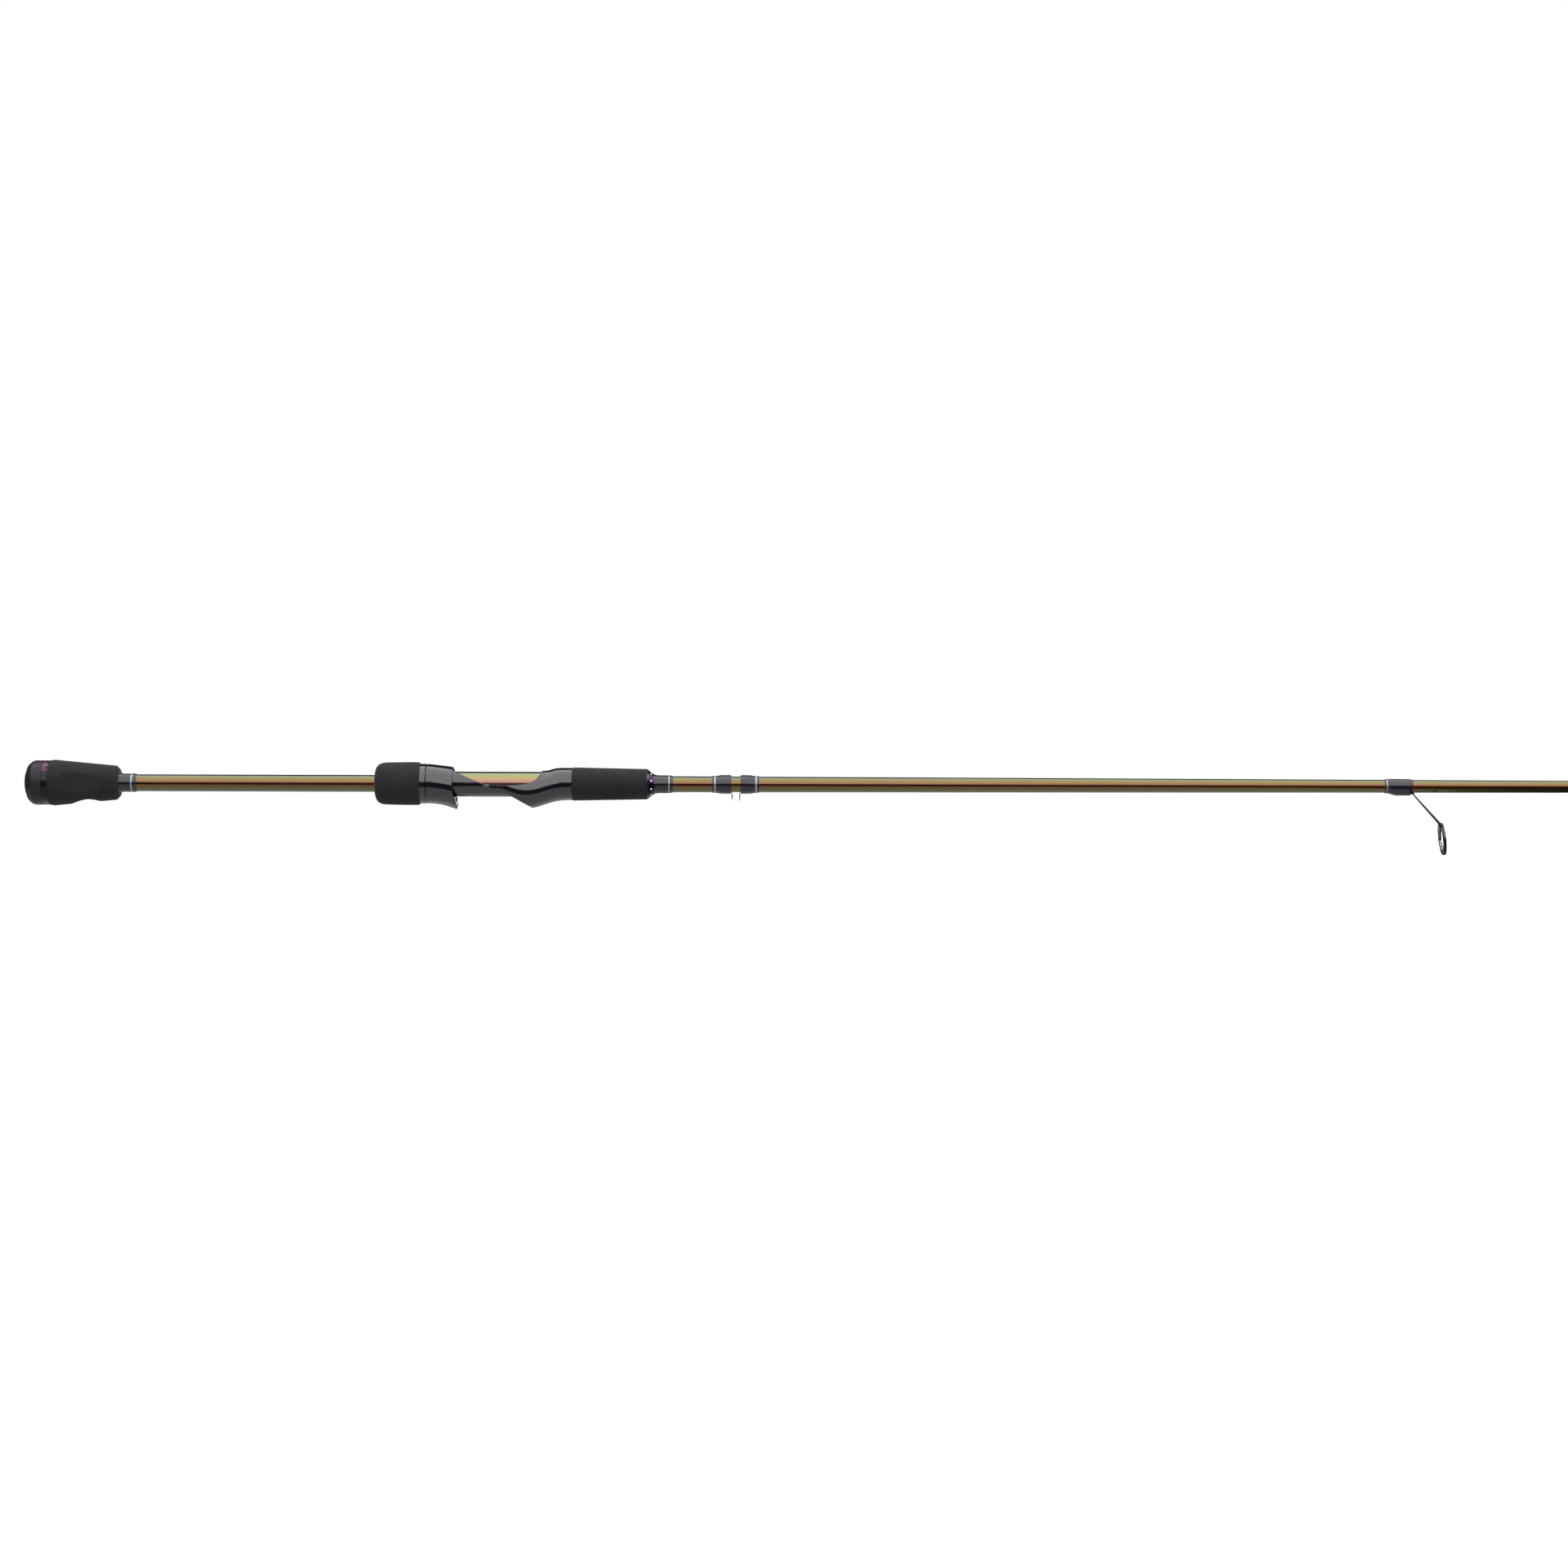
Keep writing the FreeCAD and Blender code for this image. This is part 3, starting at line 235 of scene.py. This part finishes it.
def gloss_look(name, colour, edge_radius, low=0.06, high=0.16):
    """Moulded gloss nylon: soft edges, slight orange peel, faint wear on the edges."""
    look = Look(name, IOR=1.5)
    worn = look.edges(edge_radius)
    scuffed = look.math("MULTIPLY", worn, look.remap(look.noise(0.002, 4.0), 0.45, 0.7))
    look.drive("Base Color", look.mix(scuffed, colour, WORN_EDGE))
    rough = look.remap(look.noise(0.014, 4.0), 0.35, 0.65, low, high)
    look.drive("Roughness", look.math("MULTIPLY_ADD", scuffed, 0.25, rough))
    soft = look.rounded_edges(edge_radius)
    look.drive("Normal", look.bump(look.noise(0.0025, 2.0), ORANGE_PEEL, soft))
    return look


def thread_look(name, colour, pitch, metal=0.0):
    """Wound thread under a smooth clear epoxy coat."""
    look = Look(name, Metallic=metal, Specular_IOR_Level=0.05, Coat_Weight=0.62,
                Coat_Roughness=0.03, Coat_IOR=1.5)
    ridge = look.ripple(pitch)
    streak = look.noise(1.0, 3.0, look.stretched(4200.0, 900.0))
    # Darker in the grooves between the turns: painted shade. The streaks on top are random tone.
    dark = tuple(part * 0.45 for part in colour[:3]) + (1,)
    shade = look.mix(look.remap(look.math("ADD", ridge, streak), 0.5, 1.4), dark, colour)
    look.drive("Base Color", shade)
    look.drive("Roughness", look.remap(streak, 0.3, 0.7, *THREAD_ROUGHNESS))
    look.drive("Normal", look.bump(ridge, pitch * 0.12))
    look.drive("Coat Normal", look.bump(look.noise(0.003, 2.0), 0.00001))
    return look


def metal_look(name, colour, low, high, turning):
    """Polished or brushed metal with turning marks of the given depth."""
    look = Look(name, Metallic=1.0)
    marks = look.noise(1.0, 3.0, look.stretched(9000.0, 700.0))
    blot = look.noise(0.004, 3.0)
    pale = tuple(min(1.0, part * 1.25) for part in colour[:3]) + (1,)
    look.drive("Base Color", look.mix(look.remap(marks, 0.3, 0.7), colour, pale))
    look.drive("Roughness", look.remap(look.math("ADD", marks, blot), 0.6, 1.4, low, high))
    look.drive("Normal", look.bump(marks, turning, look.rounded_edges(METAL_EDGE)))
    return look


def ceramic_look():
    look = Look("dark_ceramic", IOR=1.9, Coat_Weight=0.3, Coat_Roughness=0.02)
    grain = look.noise(0.0005, 4.0)
    tone = look.remap(grain, 0.3, 0.7)
    look.drive("Base Color", look.mix(tone, (0.012, 0.012, 0.014, 1), (0.028, 0.027, 0.030, 1)))
    look.drive("Roughness", look.remap(grain, 0.3, 0.7, 0.05, 0.14))
    look.drive("Normal", look.bump(grain, 0.000004, look.rounded_edges(0.00025)))
    return look


def cap_look():
    look = Look("satin_cap", Specular_IOR_Level=0.14)
    grain = look.noise(0.0006, 5.0)
    rub = look.noise(0.006, 4.0)
    look.drive("Base Color", look.mix(look.remap(rub, 0.35, 0.7), (0.0060, 0.0060, 0.0078, 1),
                                      (0.0095, 0.0092, 0.0118, 1)))
    look.drive("Roughness", look.remap(rub, 0.3, 0.7, 0.34, 0.48))
    look.drive("Normal", look.bump(grain, 0.00002))
    return look


def collar_look():
    """Gloss black band with a broken purple fleck in three patches round it."""
    look = Look("fleck_collar", Specular_IOR_Level=0.14)
    apart = look.node("ShaderNodeSeparateXYZ", {0: look.place})
    turn = look.math("ARCTAN2", apart.outputs["Y"], apart.outputs["Z"])
    beat = look.math("COSINE", look.math("MULTIPLY_ADD", turn, FLECK_PATCHES, FLECK_START))
    fleck = look.noise(1.0, 3.0, look.stretched(900.0, 420.0))
    where = look.math("ADD", look.math("MULTIPLY", beat, 0.22), fleck)
    mask = look.remap(where, 0.62, 0.67)
    tint = look.mix(look.remap(look.noise(0.0012, 2.0), 0.4, 0.6), (0.032, 0.010, 0.030, 1),
                    (0.082, 0.022, 0.058, 1))
    look.drive("Base Color", look.mix(mask, (0.0030, 0.0028, 0.0042, 1), tint))
    look.drive("Roughness", look.remap(look.noise(0.004, 3.0), 0.3, 0.7, 0.12, 0.22))
    look.drive("Normal", look.bump(mask, 0.00001))
    return look


def arbor_look():
    look = Look("arbor_foam", Specular_IOR_Level=0.3)
    bubbles = look.cells(0.0005)
    # Darker in the pits of the bubbles: painted shade.
    look.drive("Base Color", look.mix(look.remap(bubbles, 0.1, 0.6), (0.42, 0.40, 0.34, 1),
                                      (0.62, 0.60, 0.54, 1)))
    look.drive("Roughness", look.remap(bubbles, 0.0, 0.6, 0.75, 0.95))
    look.drive("Normal", look.bump(bubbles, 0.00008))
    return look


PAINT = shifting_paint("blank_paint", BLANK_SHADES)
SLEEVE = shifting_paint("sleeve_paint", SLEEVE_SHADES, 0.10)
FOAM = foam_look()
SEAT = gloss_look("seat_gloss", (0.0018, 0.0018, 0.0035, 1), 0.0004)
NUT = gloss_look("nut_gloss", (0.0025, 0.0025, 0.0040, 1), 0.0003, 0.08, 0.16)
CONE = gloss_look("cone_black", (0.0030, 0.0030, 0.0040, 1), 0.0003, 0.12, 0.22)
WRAP = thread_look("black_thread", (0.0050, 0.0048, 0.0085, 1), 0.00024)
SILVER = thread_look("silver_thread", (0.23, 0.24, 0.26, 1), 0.00020, 0.6)
REDLINE = thread_look("red_thread", (0.050, 0.006, 0.008, 1), 0.00018)
STAINLESS = metal_look("stainless", (0.62, 0.62, 0.64, 1), 0.10, 0.24, 0.000004)
BRIGHT = metal_look("bright_metal", (0.88, 0.88, 0.90, 1), 0.30, 0.42, 0.000003)
PURPLE = metal_look("purple_anodised", (0.030, 0.011, 0.042, 1), 0.20, 0.34, 0.000010)
GUNMETAL = metal_look("black_chrome", (0.032, 0.030, 0.036, 1), 0.16, 0.30, 0.000005)
CERAMIC = ceramic_look()
CAP = cap_look()
COLLAR = collar_look()
ARBOR = arbor_look()

FINISHES = {
    "blank_paint": PAINT,
    "sleeve_paint": SLEEVE,
    "black_satin": CAP,
    "collar_purple": COLLAR,
    "foam": FOAM,
    "bright_metal": BRIGHT,
    "wrap_black": WRAP,
    "silver_thread": SILVER,
    "arbor_foam": ARBOR,
    "seat_black": SEAT,
    "stainless": STAINLESS,
    "check_black": CONE,
    "check_purple": PURPLE,
    "guide_metal": GUNMETAL,
    "guide_ceramic": CERAMIC,
}


def dress(item, look):
    """Give every slot of an object one material."""
    if not item.data.materials:
        item.data.materials.append(look.material)
    for slot in item.material_slots:
        slot.material = look.material


# --- meshes ------------------------------------------------------------------------------------

CORNER_STEPS = 6
PINHOLE = 0.02
SKIN = 0.02


def softened(points):
    """Round the corners of a closed outline of (along, out, radius) with short arcs."""
    smooth = []
    for index, (along, out, radius) in enumerate(points):
        here = Vector((along, out))
        back = Vector(points[index - 1][:2]) - here
        ahead = Vector(points[(index + 1) % len(points)][:2]) - here
        if radius == 0:
            smooth.append(here)
            continue
        half = back.angle(ahead) / 2
        room = [0.49 if points[near % len(points)][2] else 0.98 for near in (index - 1, index + 1)]
        reach = min(radius / math.tan(half), back.length * room[0], ahead.length * room[1])
        first = here + back.normalized() * reach
        last = here + ahead.normalized() * reach
        for step in range(CORNER_STEPS + 1):
            share = step / CORNER_STEPS
            smooth.append(first * (1 - share) ** 2 + here * 2 * share * (1 - share)
                          + last * share ** 2)
    return smooth


def divided(points, step):
    """Add points along every run of a closed outline that is longer than the step."""
    dense = []
    for index, here in enumerate(points):
        following = points[(index + 1) % len(points)]
        runs = max(1, math.ceil((following - here).length / step))
        dense.extend(here.lerp(following, number / runs) for number in range(runs))
    return dense


def new_object(name, corners, faces, flat=0):
    """An object with corners in millimetres, smooth all over but for its last flat faces."""
    mesh = bpy.data.meshes.new(name)
    mesh.from_pydata([[part * MM for part in corner] for corner in corners], [], faces)
    mesh.polygons.foreach_set("use_smooth", [True] * (len(faces) - flat) + [False] * flat)
    mesh.update()
    item = bpy.data.objects.new(name, mesh)
    bpy.context.scene.collection.objects.link(item)
    return item


def lathe(name, points, segments, step=None, shape=None):
    """Turn a closed outline of (along, out, corner radius) round the rod's axis. The shape
    function may move each point, given and returned as (along, across, up)."""
    outline = softened(points)
    if step is not None:
        outline = divided(outline, step)
    corners = []
    for along, out in outline:
        for number in range(segments):
            turn = math.tau * number / segments
            corner = (along, out * math.sin(turn), out * math.cos(turn))
            if shape is not None:
                corner = shape(*corner)
            corners.append(corner)
    faces = []
    for ring in range(len(outline)):
        after = (ring + 1) % len(outline)
        for number in range(segments):
            beside = (number + 1) % segments
            faces.append((ring * segments + number, after * segments + number,
                          after * segments + beside, ring * segments + beside))
    return new_object(name, corners, faces)


def piece(item, body, look, slot, *nodes):
    """Dress a new piece, ride it on its body and let it stand for its CAD nodes."""
    dress(item, look)
    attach(item, body)
    if nodes:
        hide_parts(*nodes)


# --- CAD nodes keep their shapes ---------------------------------------------------------------

SLOTS = {part["node"]: part["material_slot"] for part in frame["record"]["subparts"]}
for label, item in frame["nodes"].items():
    dress(item, FINISHES[SLOTS[label]])
dress(frame["nodes"]["nut_core"], NUT)

# --- butt cap and collar -----------------------------------------------------------------------

CAP_FLOOR = 3.0
CAP_SEGMENTS = 160
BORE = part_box("blank")[1].y / MM
CAP_END = at("butt_cap", 1)
CAP_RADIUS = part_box("butt_cap")[1].y / MM
GRIP_START = at("butt_ring", 1)

cap = lathe("soft_butt_cap", [
    (0.0, PINHOLE, 0),
    (0.0, 4 * PINHOLE, 0),
    (0.0, 1.0, 0),
    (0.0, 6.0, 5.0),
    (1.9, 11.4, 5.0),
    (5.4, CAP_RADIUS, 5.0),
    (CAP_END, CAP_RADIUS, 0.35),
    (CAP_END, BORE, 0),
    (CAP_FLOOR, BORE, 0),
    (CAP_FLOOR, PINHOLE, 0),
], CAP_SEGMENTS)
piece(cap, "rod", CAP, "black_satin", "butt_cap")

collar = lathe("fleck_collar", [
    (CAP_END, BORE, 0),
    (CAP_END, CAP_RADIUS, 0.35),
    (GRIP_START, CAP_RADIUS, 0.3),
    (GRIP_START, BORE, 0),
], CAP_SEGMENTS)
piece(collar, "rod", COLLAR, "collar_purple", "butt_ring")

# --- foam grips --------------------------------------------------------------------------------

GRIP_REAR_RADIUS = 14.35
GRIP_FRONT_RADIUS = 8.6
GRIP_SEGMENTS = 240
GRIP_STEP = 0.4
GRIP_NOSE = (18.8, 14.75)
GRIP_SHOULDER = (58.5, 11.05)
GRIP_END = 60.9
CHECK_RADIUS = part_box("rear_check")[1].y / MM
NOTCH_STATION = 40.6
NOTCH_CURVE = 22.0
NOTCH_FLOOR = -10.7
SCOOP_REAR = 29.7
SCOOP_REAR_CURVE = 6.7
SCOOP_FRONT = 46.0
SCOOP_FRONT_CURVE = 3.6
SCOOP_DEPTH = 0.25
SCOOP_BLEND = 0.22
NOTCH_BLEND = 0.45
RECESS_WALL = 1.5


def soft_least(first, second, blend):
    """The smaller of two numbers, with the change rounded over the blend."""
    share = max(0.0, min(1.0, 0.5 + (second - first) / (2 * blend)))
    return second + (first - second) * share - blend * share * (1 - share)


def scoop_reach(along):
    """Half height of the teardrop scoop at a station, 0 outside it."""
    tilt = (SCOOP_REAR_CURVE - SCOOP_FRONT_CURVE) / (SCOOP_FRONT - SCOOP_REAR)
    if along < SCOOP_REAR + SCOOP_REAR_CURVE * tilt:
        return math.sqrt(max(0.0, SCOOP_REAR_CURVE ** 2 - (along - SCOOP_REAR) ** 2))
    if along > SCOOP_FRONT + SCOOP_FRONT_CURVE * tilt:
        return math.sqrt(max(0.0, SCOOP_FRONT_CURVE ** 2 - (along - SCOOP_FRONT) ** 2))
    lean = math.sqrt(1 - tilt ** 2)
    return (SCOOP_REAR_CURVE - (along - SCOOP_REAR) * tilt) / lean


def grip_shape(along, across, up):
    """Press the finger notch and the two thumb scoops into the rear grip."""
    out = math.hypot(across, up)
    if out > CHECK_RADIUS + RECESS_WALL:
        reach = scoop_reach(along)
        if reach > 0 and abs(up) < reach * 1.5:
            floor = math.sqrt(out ** 2 - reach ** 2) - SCOOP_DEPTH
            across = math.copysign(soft_least(abs(across), floor, SCOOP_BLEND), across)
        rise = NOTCH_CURVE ** 2 - (along - NOTCH_STATION) ** 2
        if rise > 0:
            cut = NOTCH_FLOOR - NOTCH_CURVE + math.sqrt(rise)
            up = -soft_least(-up, -cut, NOTCH_BLEND)
    return along, across, up


rear_grip = lathe("rear_grip_foam", [
    (GRIP_START, BORE, 0),
    (GRIP_START, GRIP_REAR_RADIUS, 0.6),
    GRIP_NOSE + (6.0,),
    GRIP_SHOULDER + (1.2,),
    (GRIP_END - 0.1, GRIP_FRONT_RADIUS, 0.5),
    (GRIP_END - 0.6, CHECK_RADIUS + SKIN, 0.2),
    (at("rear_check", 0), CHECK_RADIUS + SKIN, 0),
    (at("rear_check", 0), BORE, 0),
], GRIP_SEGMENTS, GRIP_STEP, grip_shape)
piece(rear_grip, "rod", FOAM, "foam", "rear_grip")

NUT_START = at("nut_grip", 0)
NUT_END = 254.3
NUT_HOLE = 6.1
NUT_WALL = 230.0
NUT_CORE = 11.6
NUT_REAR_RADIUS = 13.45
NUT_RADIUS = 13.87
NUT_SEGMENTS = 220
NUT_STEP = 0.5
nut_grip = lathe("nut_grip_foam", [
    (NUT_START, NUT_HOLE, 0),
    (NUT_START, NUT_REAR_RADIUS, 8.5),
    (NUT_START + 20.0, NUT_RADIUS, 6.0),
    (NUT_END, NUT_RADIUS, 1.9),
    (NUT_END, NUT_CORE, 0),
    (NUT_WALL, NUT_CORE, 0),
    (NUT_WALL, NUT_HOLE, 0),
], NUT_SEGMENTS, NUT_STEP)
piece(nut_grip, "nut", FOAM, "foam", "nut_grip")

SEAT_END = at("seat_body", 1)
FORE_END = at("fore_grip", 1)
FORE_BORE = 5.45
FORE_REAR_RADIUS = 10.75
FORE_FRONT_RADIUS = 9.8
FORE_SEGMENTS = 200
FORE_STEP = 0.5
fore_grip = lathe("fore_grip_foam", [
    (SEAT_END, FORE_BORE, 0),
    (SEAT_END, FORE_REAR_RADIUS, 1.2),
    (FORE_END, FORE_FRONT_RADIUS, 0.35),
    (FORE_END, FORE_BORE, 0),
], FORE_SEGMENTS, FORE_STEP)
piece(fore_grip, "rod", FOAM, "foam", "fore_grip")

# --- steel lip of the sliding hood's pocket and a dark sheet of painted shade inside it --------

# The pocket's two ends as (station, height of the middle, radius).
POCKET_REAR = (263.0, -2.0, 9.2)
POCKET_FRONT = (279.6, -4.1, 11.0)
# The hood's rim in side view as (height, station).
RIM = ((-30.0, 278.0), (-15.2, 277.6), (-7.8, 276.3), (-2.0, 275.2), (10.0, 275.2))
MOUTH_STATION = 277.0
LIP_STEPS = 72
NOSE_STEPS = 8
LIP_TURN = math.radians(62.0)
LIP_WALL = 0.62
LIP_GAP = 0.08
LIP_DEPTH = 0.95
SHADE_LINING_DEPTH = 9.0
SHADE_LINING_WALL = 0.9 * LIP_WALL
LIP_PROUD = 0.9


def rim_station(up):
    """Where the hood's rim stands at a height, read from its side view."""
    for (low, rear), (high, front) in zip(RIM, RIM[1:]):
        if up <= high:
            return rear + (front - rear) * (up - low) / (high - low)
    return RIM[-1][1]


def pocket_point(along, depth, turn):
    """A point inside the hood's foot pocket, a depth in from its wall and turned from below."""
    share = (along - POCKET_REAR[0]) / (POCKET_FRONT[0] - POCKET_REAR[0])
    ends = zip(POCKET_REAR[1:], POCKET_FRONT[1:])
    middle, out = (rear + (front - rear) * share for rear, front in ends)
    out -= depth
    return along, out * math.sin(turn), middle - out * math.cos(turn)


def pocket_strip(name, rear, front, wall):
    """A bent strip round the lower part of the pocket, with its rear and front edges set back
    from the mouth by the given distances and the front edge rounded."""
    nose = wall / 2
    rows = []
    for number in range(LIP_STEPS + 1):
        turn = LIP_TURN * (2 * number / LIP_STEPS - 1)
        mouth = rim_station(pocket_point(MOUTH_STATION, 0.0, turn)[2]) + LIP_PROUD
        section = [(mouth - rear, LIP_GAP), (mouth - front - 2 * nose, LIP_GAP)]
        for bend in range(NOSE_STEPS + 1):
            angle = math.pi * bend / NOSE_STEPS
            section.append((mouth - front - nose + nose * math.sin(angle),
                            LIP_GAP + nose - nose * math.cos(angle)))
        section += [(mouth - front - 2 * nose, LIP_GAP + wall), (mouth - rear, LIP_GAP + wall)]
        rows.append([pocket_point(along, depth, turn) for along, depth in section])
    width = len(rows[0])
    corners = [corner for row in rows for corner in row]
    faces = []
    for row in range(LIP_STEPS):
        for near in range(width):
            far = (near + 1) % width
            faces.append((row * width + near, row * width + far,
                          (row + 1) * width + far, (row + 1) * width + near))
    faces.append(tuple(reversed(range(width))))
    faces.append(tuple(LIP_STEPS * width + near for near in range(width)))
    return new_object(name, corners, faces, flat=2)


LIP_STEEL = metal_look("lip_steel", (0.80, 0.80, 0.82, 1), 0.22, 0.34, 0.000003)
piece(pocket_strip("steel_hood_lip", LIP_DEPTH, 0.0, LIP_WALL), "hood", LIP_STEEL, "stainless",
      "hood_liner")
# The deep strip is a dark satin sheet where there is only shade inside the pocket: painted shade.
piece(pocket_strip("pocket_shade_lining", SHADE_LINING_DEPTH, LIP_DEPTH, SHADE_LINING_WALL), "hood", CAP,
      "black_satin")

# --- windings and edge threads of the guides ---------------------------------------------------

# The blank's taper as (station, radius).
TAPER = ((250.0, 5.47), (420.0, 5.20), (600.0, 4.83), (983.0, 3.92), (2128.0, 1.0))
GUIDE_OUTSIDES = (21.3, 13.2, 9.2, 7.0, 7.0, 7.0, 7.0, 7.0)
WINDING = 0.54
TRIM_START = 1.0
TRIM_END = 1.8
TRIM_FLOOR = 0.10
FOOT_THICKNESS = 0.5
FOOT_PER_RING = 0.03
FOOT_COVER = 0.14
UNDERSIDE = 0.05
WINDING_SEGMENTS = 96
WINDING_STEP = 0.3
BULGE_TURN = math.radians(62.0)
BULGE_RISE = 0.36
BULGE_CLOSE = 0.9
BULGE_SHARE = 0.80
EDGE_THREAD = 1.1


def blank_radius(along):
    """The blank's outside radius at a station, read from its taper."""
    for (start, wide), (stop, narrow) in zip(TAPER, TAPER[1:]):
        if along <= stop:
            share = max(0.0, (along - start) / (stop - start))
            return wide + (narrow - wide) * share
    return TAPER[-1][1]


def guide_winding(number, outside):
    """A guide's thread wrap with its winding lifted smoothly over the guide's foot."""
    start = at("guide_%d_wrap" % number, 0)
    end = at("guide_%d_wrap" % number, 1)
    foot = FOOT_THICKNESS + FOOT_PER_RING * outside

    def over_foot(along, across, up):
        out = math.hypot(across, up)
        bare = blank_radius(along)
        if out < bare + UNDERSIDE:
            return along, across, up
        turn = math.acos(max(-1.0, min(1.0, -up / out)))
        rise = (along - start - TRIM_END) / (BULGE_RISE * (end - start))
        rise = max(0.0, min(1.0, rise))
        ease = rise * rise * (3 - 2 * rise)
        close = max(0.0, min(1.0, (end - along) / BULGE_CLOSE))
        lift = (foot + FOOT_COVER) * ease * (BULGE_SHARE + (1 - BULGE_SHARE) * math.sqrt(close))
        lift *= math.cos(math.pi / 2 * min(1.0, turn / BULGE_TURN)) ** 2
        return along, across * (out + lift) / out, up * (out + lift) / out

    groove = start + TRIM_START
    ridge = start + TRIM_END
    radius = [blank_radius(station) for station in (start, groove, ridge, end)]
    winding = lathe("guide_%d_winding" % number, [
        (start, radius[0] - SKIN, 0),
        (start, radius[0] + 0.08, 0),
        (start + 0.7, radius[0] + 0.70 * WINDING, 0.4),
        (groove, radius[1] + 0.75 * WINDING, 0),
        (groove, radius[1] + TRIM_FLOOR, 0),
        (ridge, radius[2] + TRIM_FLOOR, 0),
        (ridge, radius[2] + 0.75 * WINDING, 0),
        (start + 3.7, radius[2] + WINDING, 1.0),
        (end - 0.8, radius[3] + WINDING, 0.5),
        (end, radius[3] + 0.30 * WINDING, 0),
        (end, radius[3] - SKIN, 0),
    ], WINDING_SEGMENTS, WINDING_STEP, over_foot)
    piece(winding, "rod", WRAP, "wrap_black", "guide_%d_wrap" % number)


def edge_thread(number):
    """The dark red thread that closes a guide's winding at its tip end."""
    edge = at("guide_%d_wrap" % number, 1)
    inner = blank_radius(edge)
    line = lathe("guide_%d_edge_thread" % number, [
        (edge - 0.05, inner - SKIN, 0),
        (edge - 0.05, inner + 0.24, 0.1),
        (edge + 0.5, inner + 0.20, 0.1),
        (edge + EDGE_THREAD, inner + 0.01, 0),
        (edge + EDGE_THREAD, inner - SKIN, 0),
    ], WINDING_SEGMENTS)
    piece(line, "rod", REDLINE, "wrap_black")


for number, outside in enumerate(GUIDE_OUTSIDES, start=1):
    guide_winding(number, outside)
    edge_thread(number)

# --- floor, lights and camera ------------------------------------------------------------------

FLOOR_HEIGHT = CAD_BOX[0].z - 0.001
FLOOR_REACH = 30.0
UPPER_PLACE = (0.9, -0.65, 1.01)
UPPER_TILT = 20.8
UPPER_SIZE = (4.6, 3.31)
UPPER_RADIANCE = 3.9
LOWER_PLACE = (-0.30, -0.29, -0.60)
LOWER_TILT = 180.0
LOWER_SIZE = (2.66, 2.58)
LOWER_RADIANCE = 1.10
SURROUND = 0.07

floor_mesh = bpy.data.meshes.new("floor")
floor_mesh.from_pydata(
    [(x * FLOOR_REACH, y * FLOOR_REACH, FLOOR_HEIGHT)
     for x, y in ((-1, -1), (1, -1), (1, 1), (-1, 1))],
    [], [(0, 1, 2, 3)])
floor = bpy.data.objects.new("floor", floor_mesh)
bpy.context.scene.collection.objects.link(floor)
pale = Look("pale_floor", Base_Color=(0.8, 0.8, 0.8, 1), Roughness=0.9, Emission_Strength=1.0)
pale.shader.inputs["Emission Color"].default_value = (1, 1, 1, 1)
pale.drive("Normal", pale.bump(pale.noise(0.02, 3.0), 0.0002))
dress(floor, pale)
floor.visible_glossy = False
floor.visible_diffuse = False
floor.visible_transmission = False
floor.visible_shadow = False

world = bpy.data.worlds.new("studio")
bpy.context.scene.world = world
world.use_nodes = True
tree = world.node_tree
background = tree.nodes["Background"]
path = tree.nodes.new("ShaderNodeLightPath")
blend = tree.nodes.new("ShaderNodeMix")
blend.data_type = "RGBA"
blend.inputs[6].default_value = (SURROUND, SURROUND, SURROUND * 1.05, 1)
blend.inputs[7].default_value = (1.0, 1.0, 1.0, 1)
tree.links.new(path.outputs["Is Camera Ray"], blend.inputs[0])
tree.links.new(blend.outputs[2], background.inputs["Color"])


def softbox(name, centre, tilt, width, depth, radiance):
    """A rectangular area light. It shines down its own -Z, turned about X by the tilt."""
    light = bpy.data.lights.new(name, "AREA")
    light.shape = "RECTANGLE"
    light.size = width
    light.size_y = depth
    light.energy = radiance * math.pi * width * depth
    item = bpy.data.objects.new(name, light)
    item.location = centre
    item.rotation_euler = (math.radians(tilt), 0, 0)
    item.visible_camera = False
    bpy.context.scene.collection.objects.link(item)


softbox("upper_softbox", UPPER_PLACE, UPPER_TILT, *UPPER_SIZE, UPPER_RADIANCE)
softbox("lower_softbox", LOWER_PLACE, LOWER_TILT, *LOWER_SIZE, LOWER_RADIANCE)

scene = bpy.context.scene
scene.view_settings.view_transform = "Standard"
scene.view_settings.look = "None"

LENS = 87.28
CAMERA_PLACE = (0.4884, -2.45, 0.0004)
ROLL = -0.163

camera_data = bpy.data.cameras.new("camera")
camera_data.lens = LENS
camera_data.sensor_width = 36.0
camera_data.clip_start = 0.05
camera_data.clip_end = 100.0
camera = bpy.data.objects.new("camera", camera_data)
scene.collection.objects.link(camera)
camera.matrix_world = (
    Matrix.Translation(CAMERA_PLACE)
    @ Matrix.Rotation(math.radians(ROLL), 4, "Y")
    @ Matrix.Rotation(math.radians(90.0), 4, "X"))
scene.camera = camera
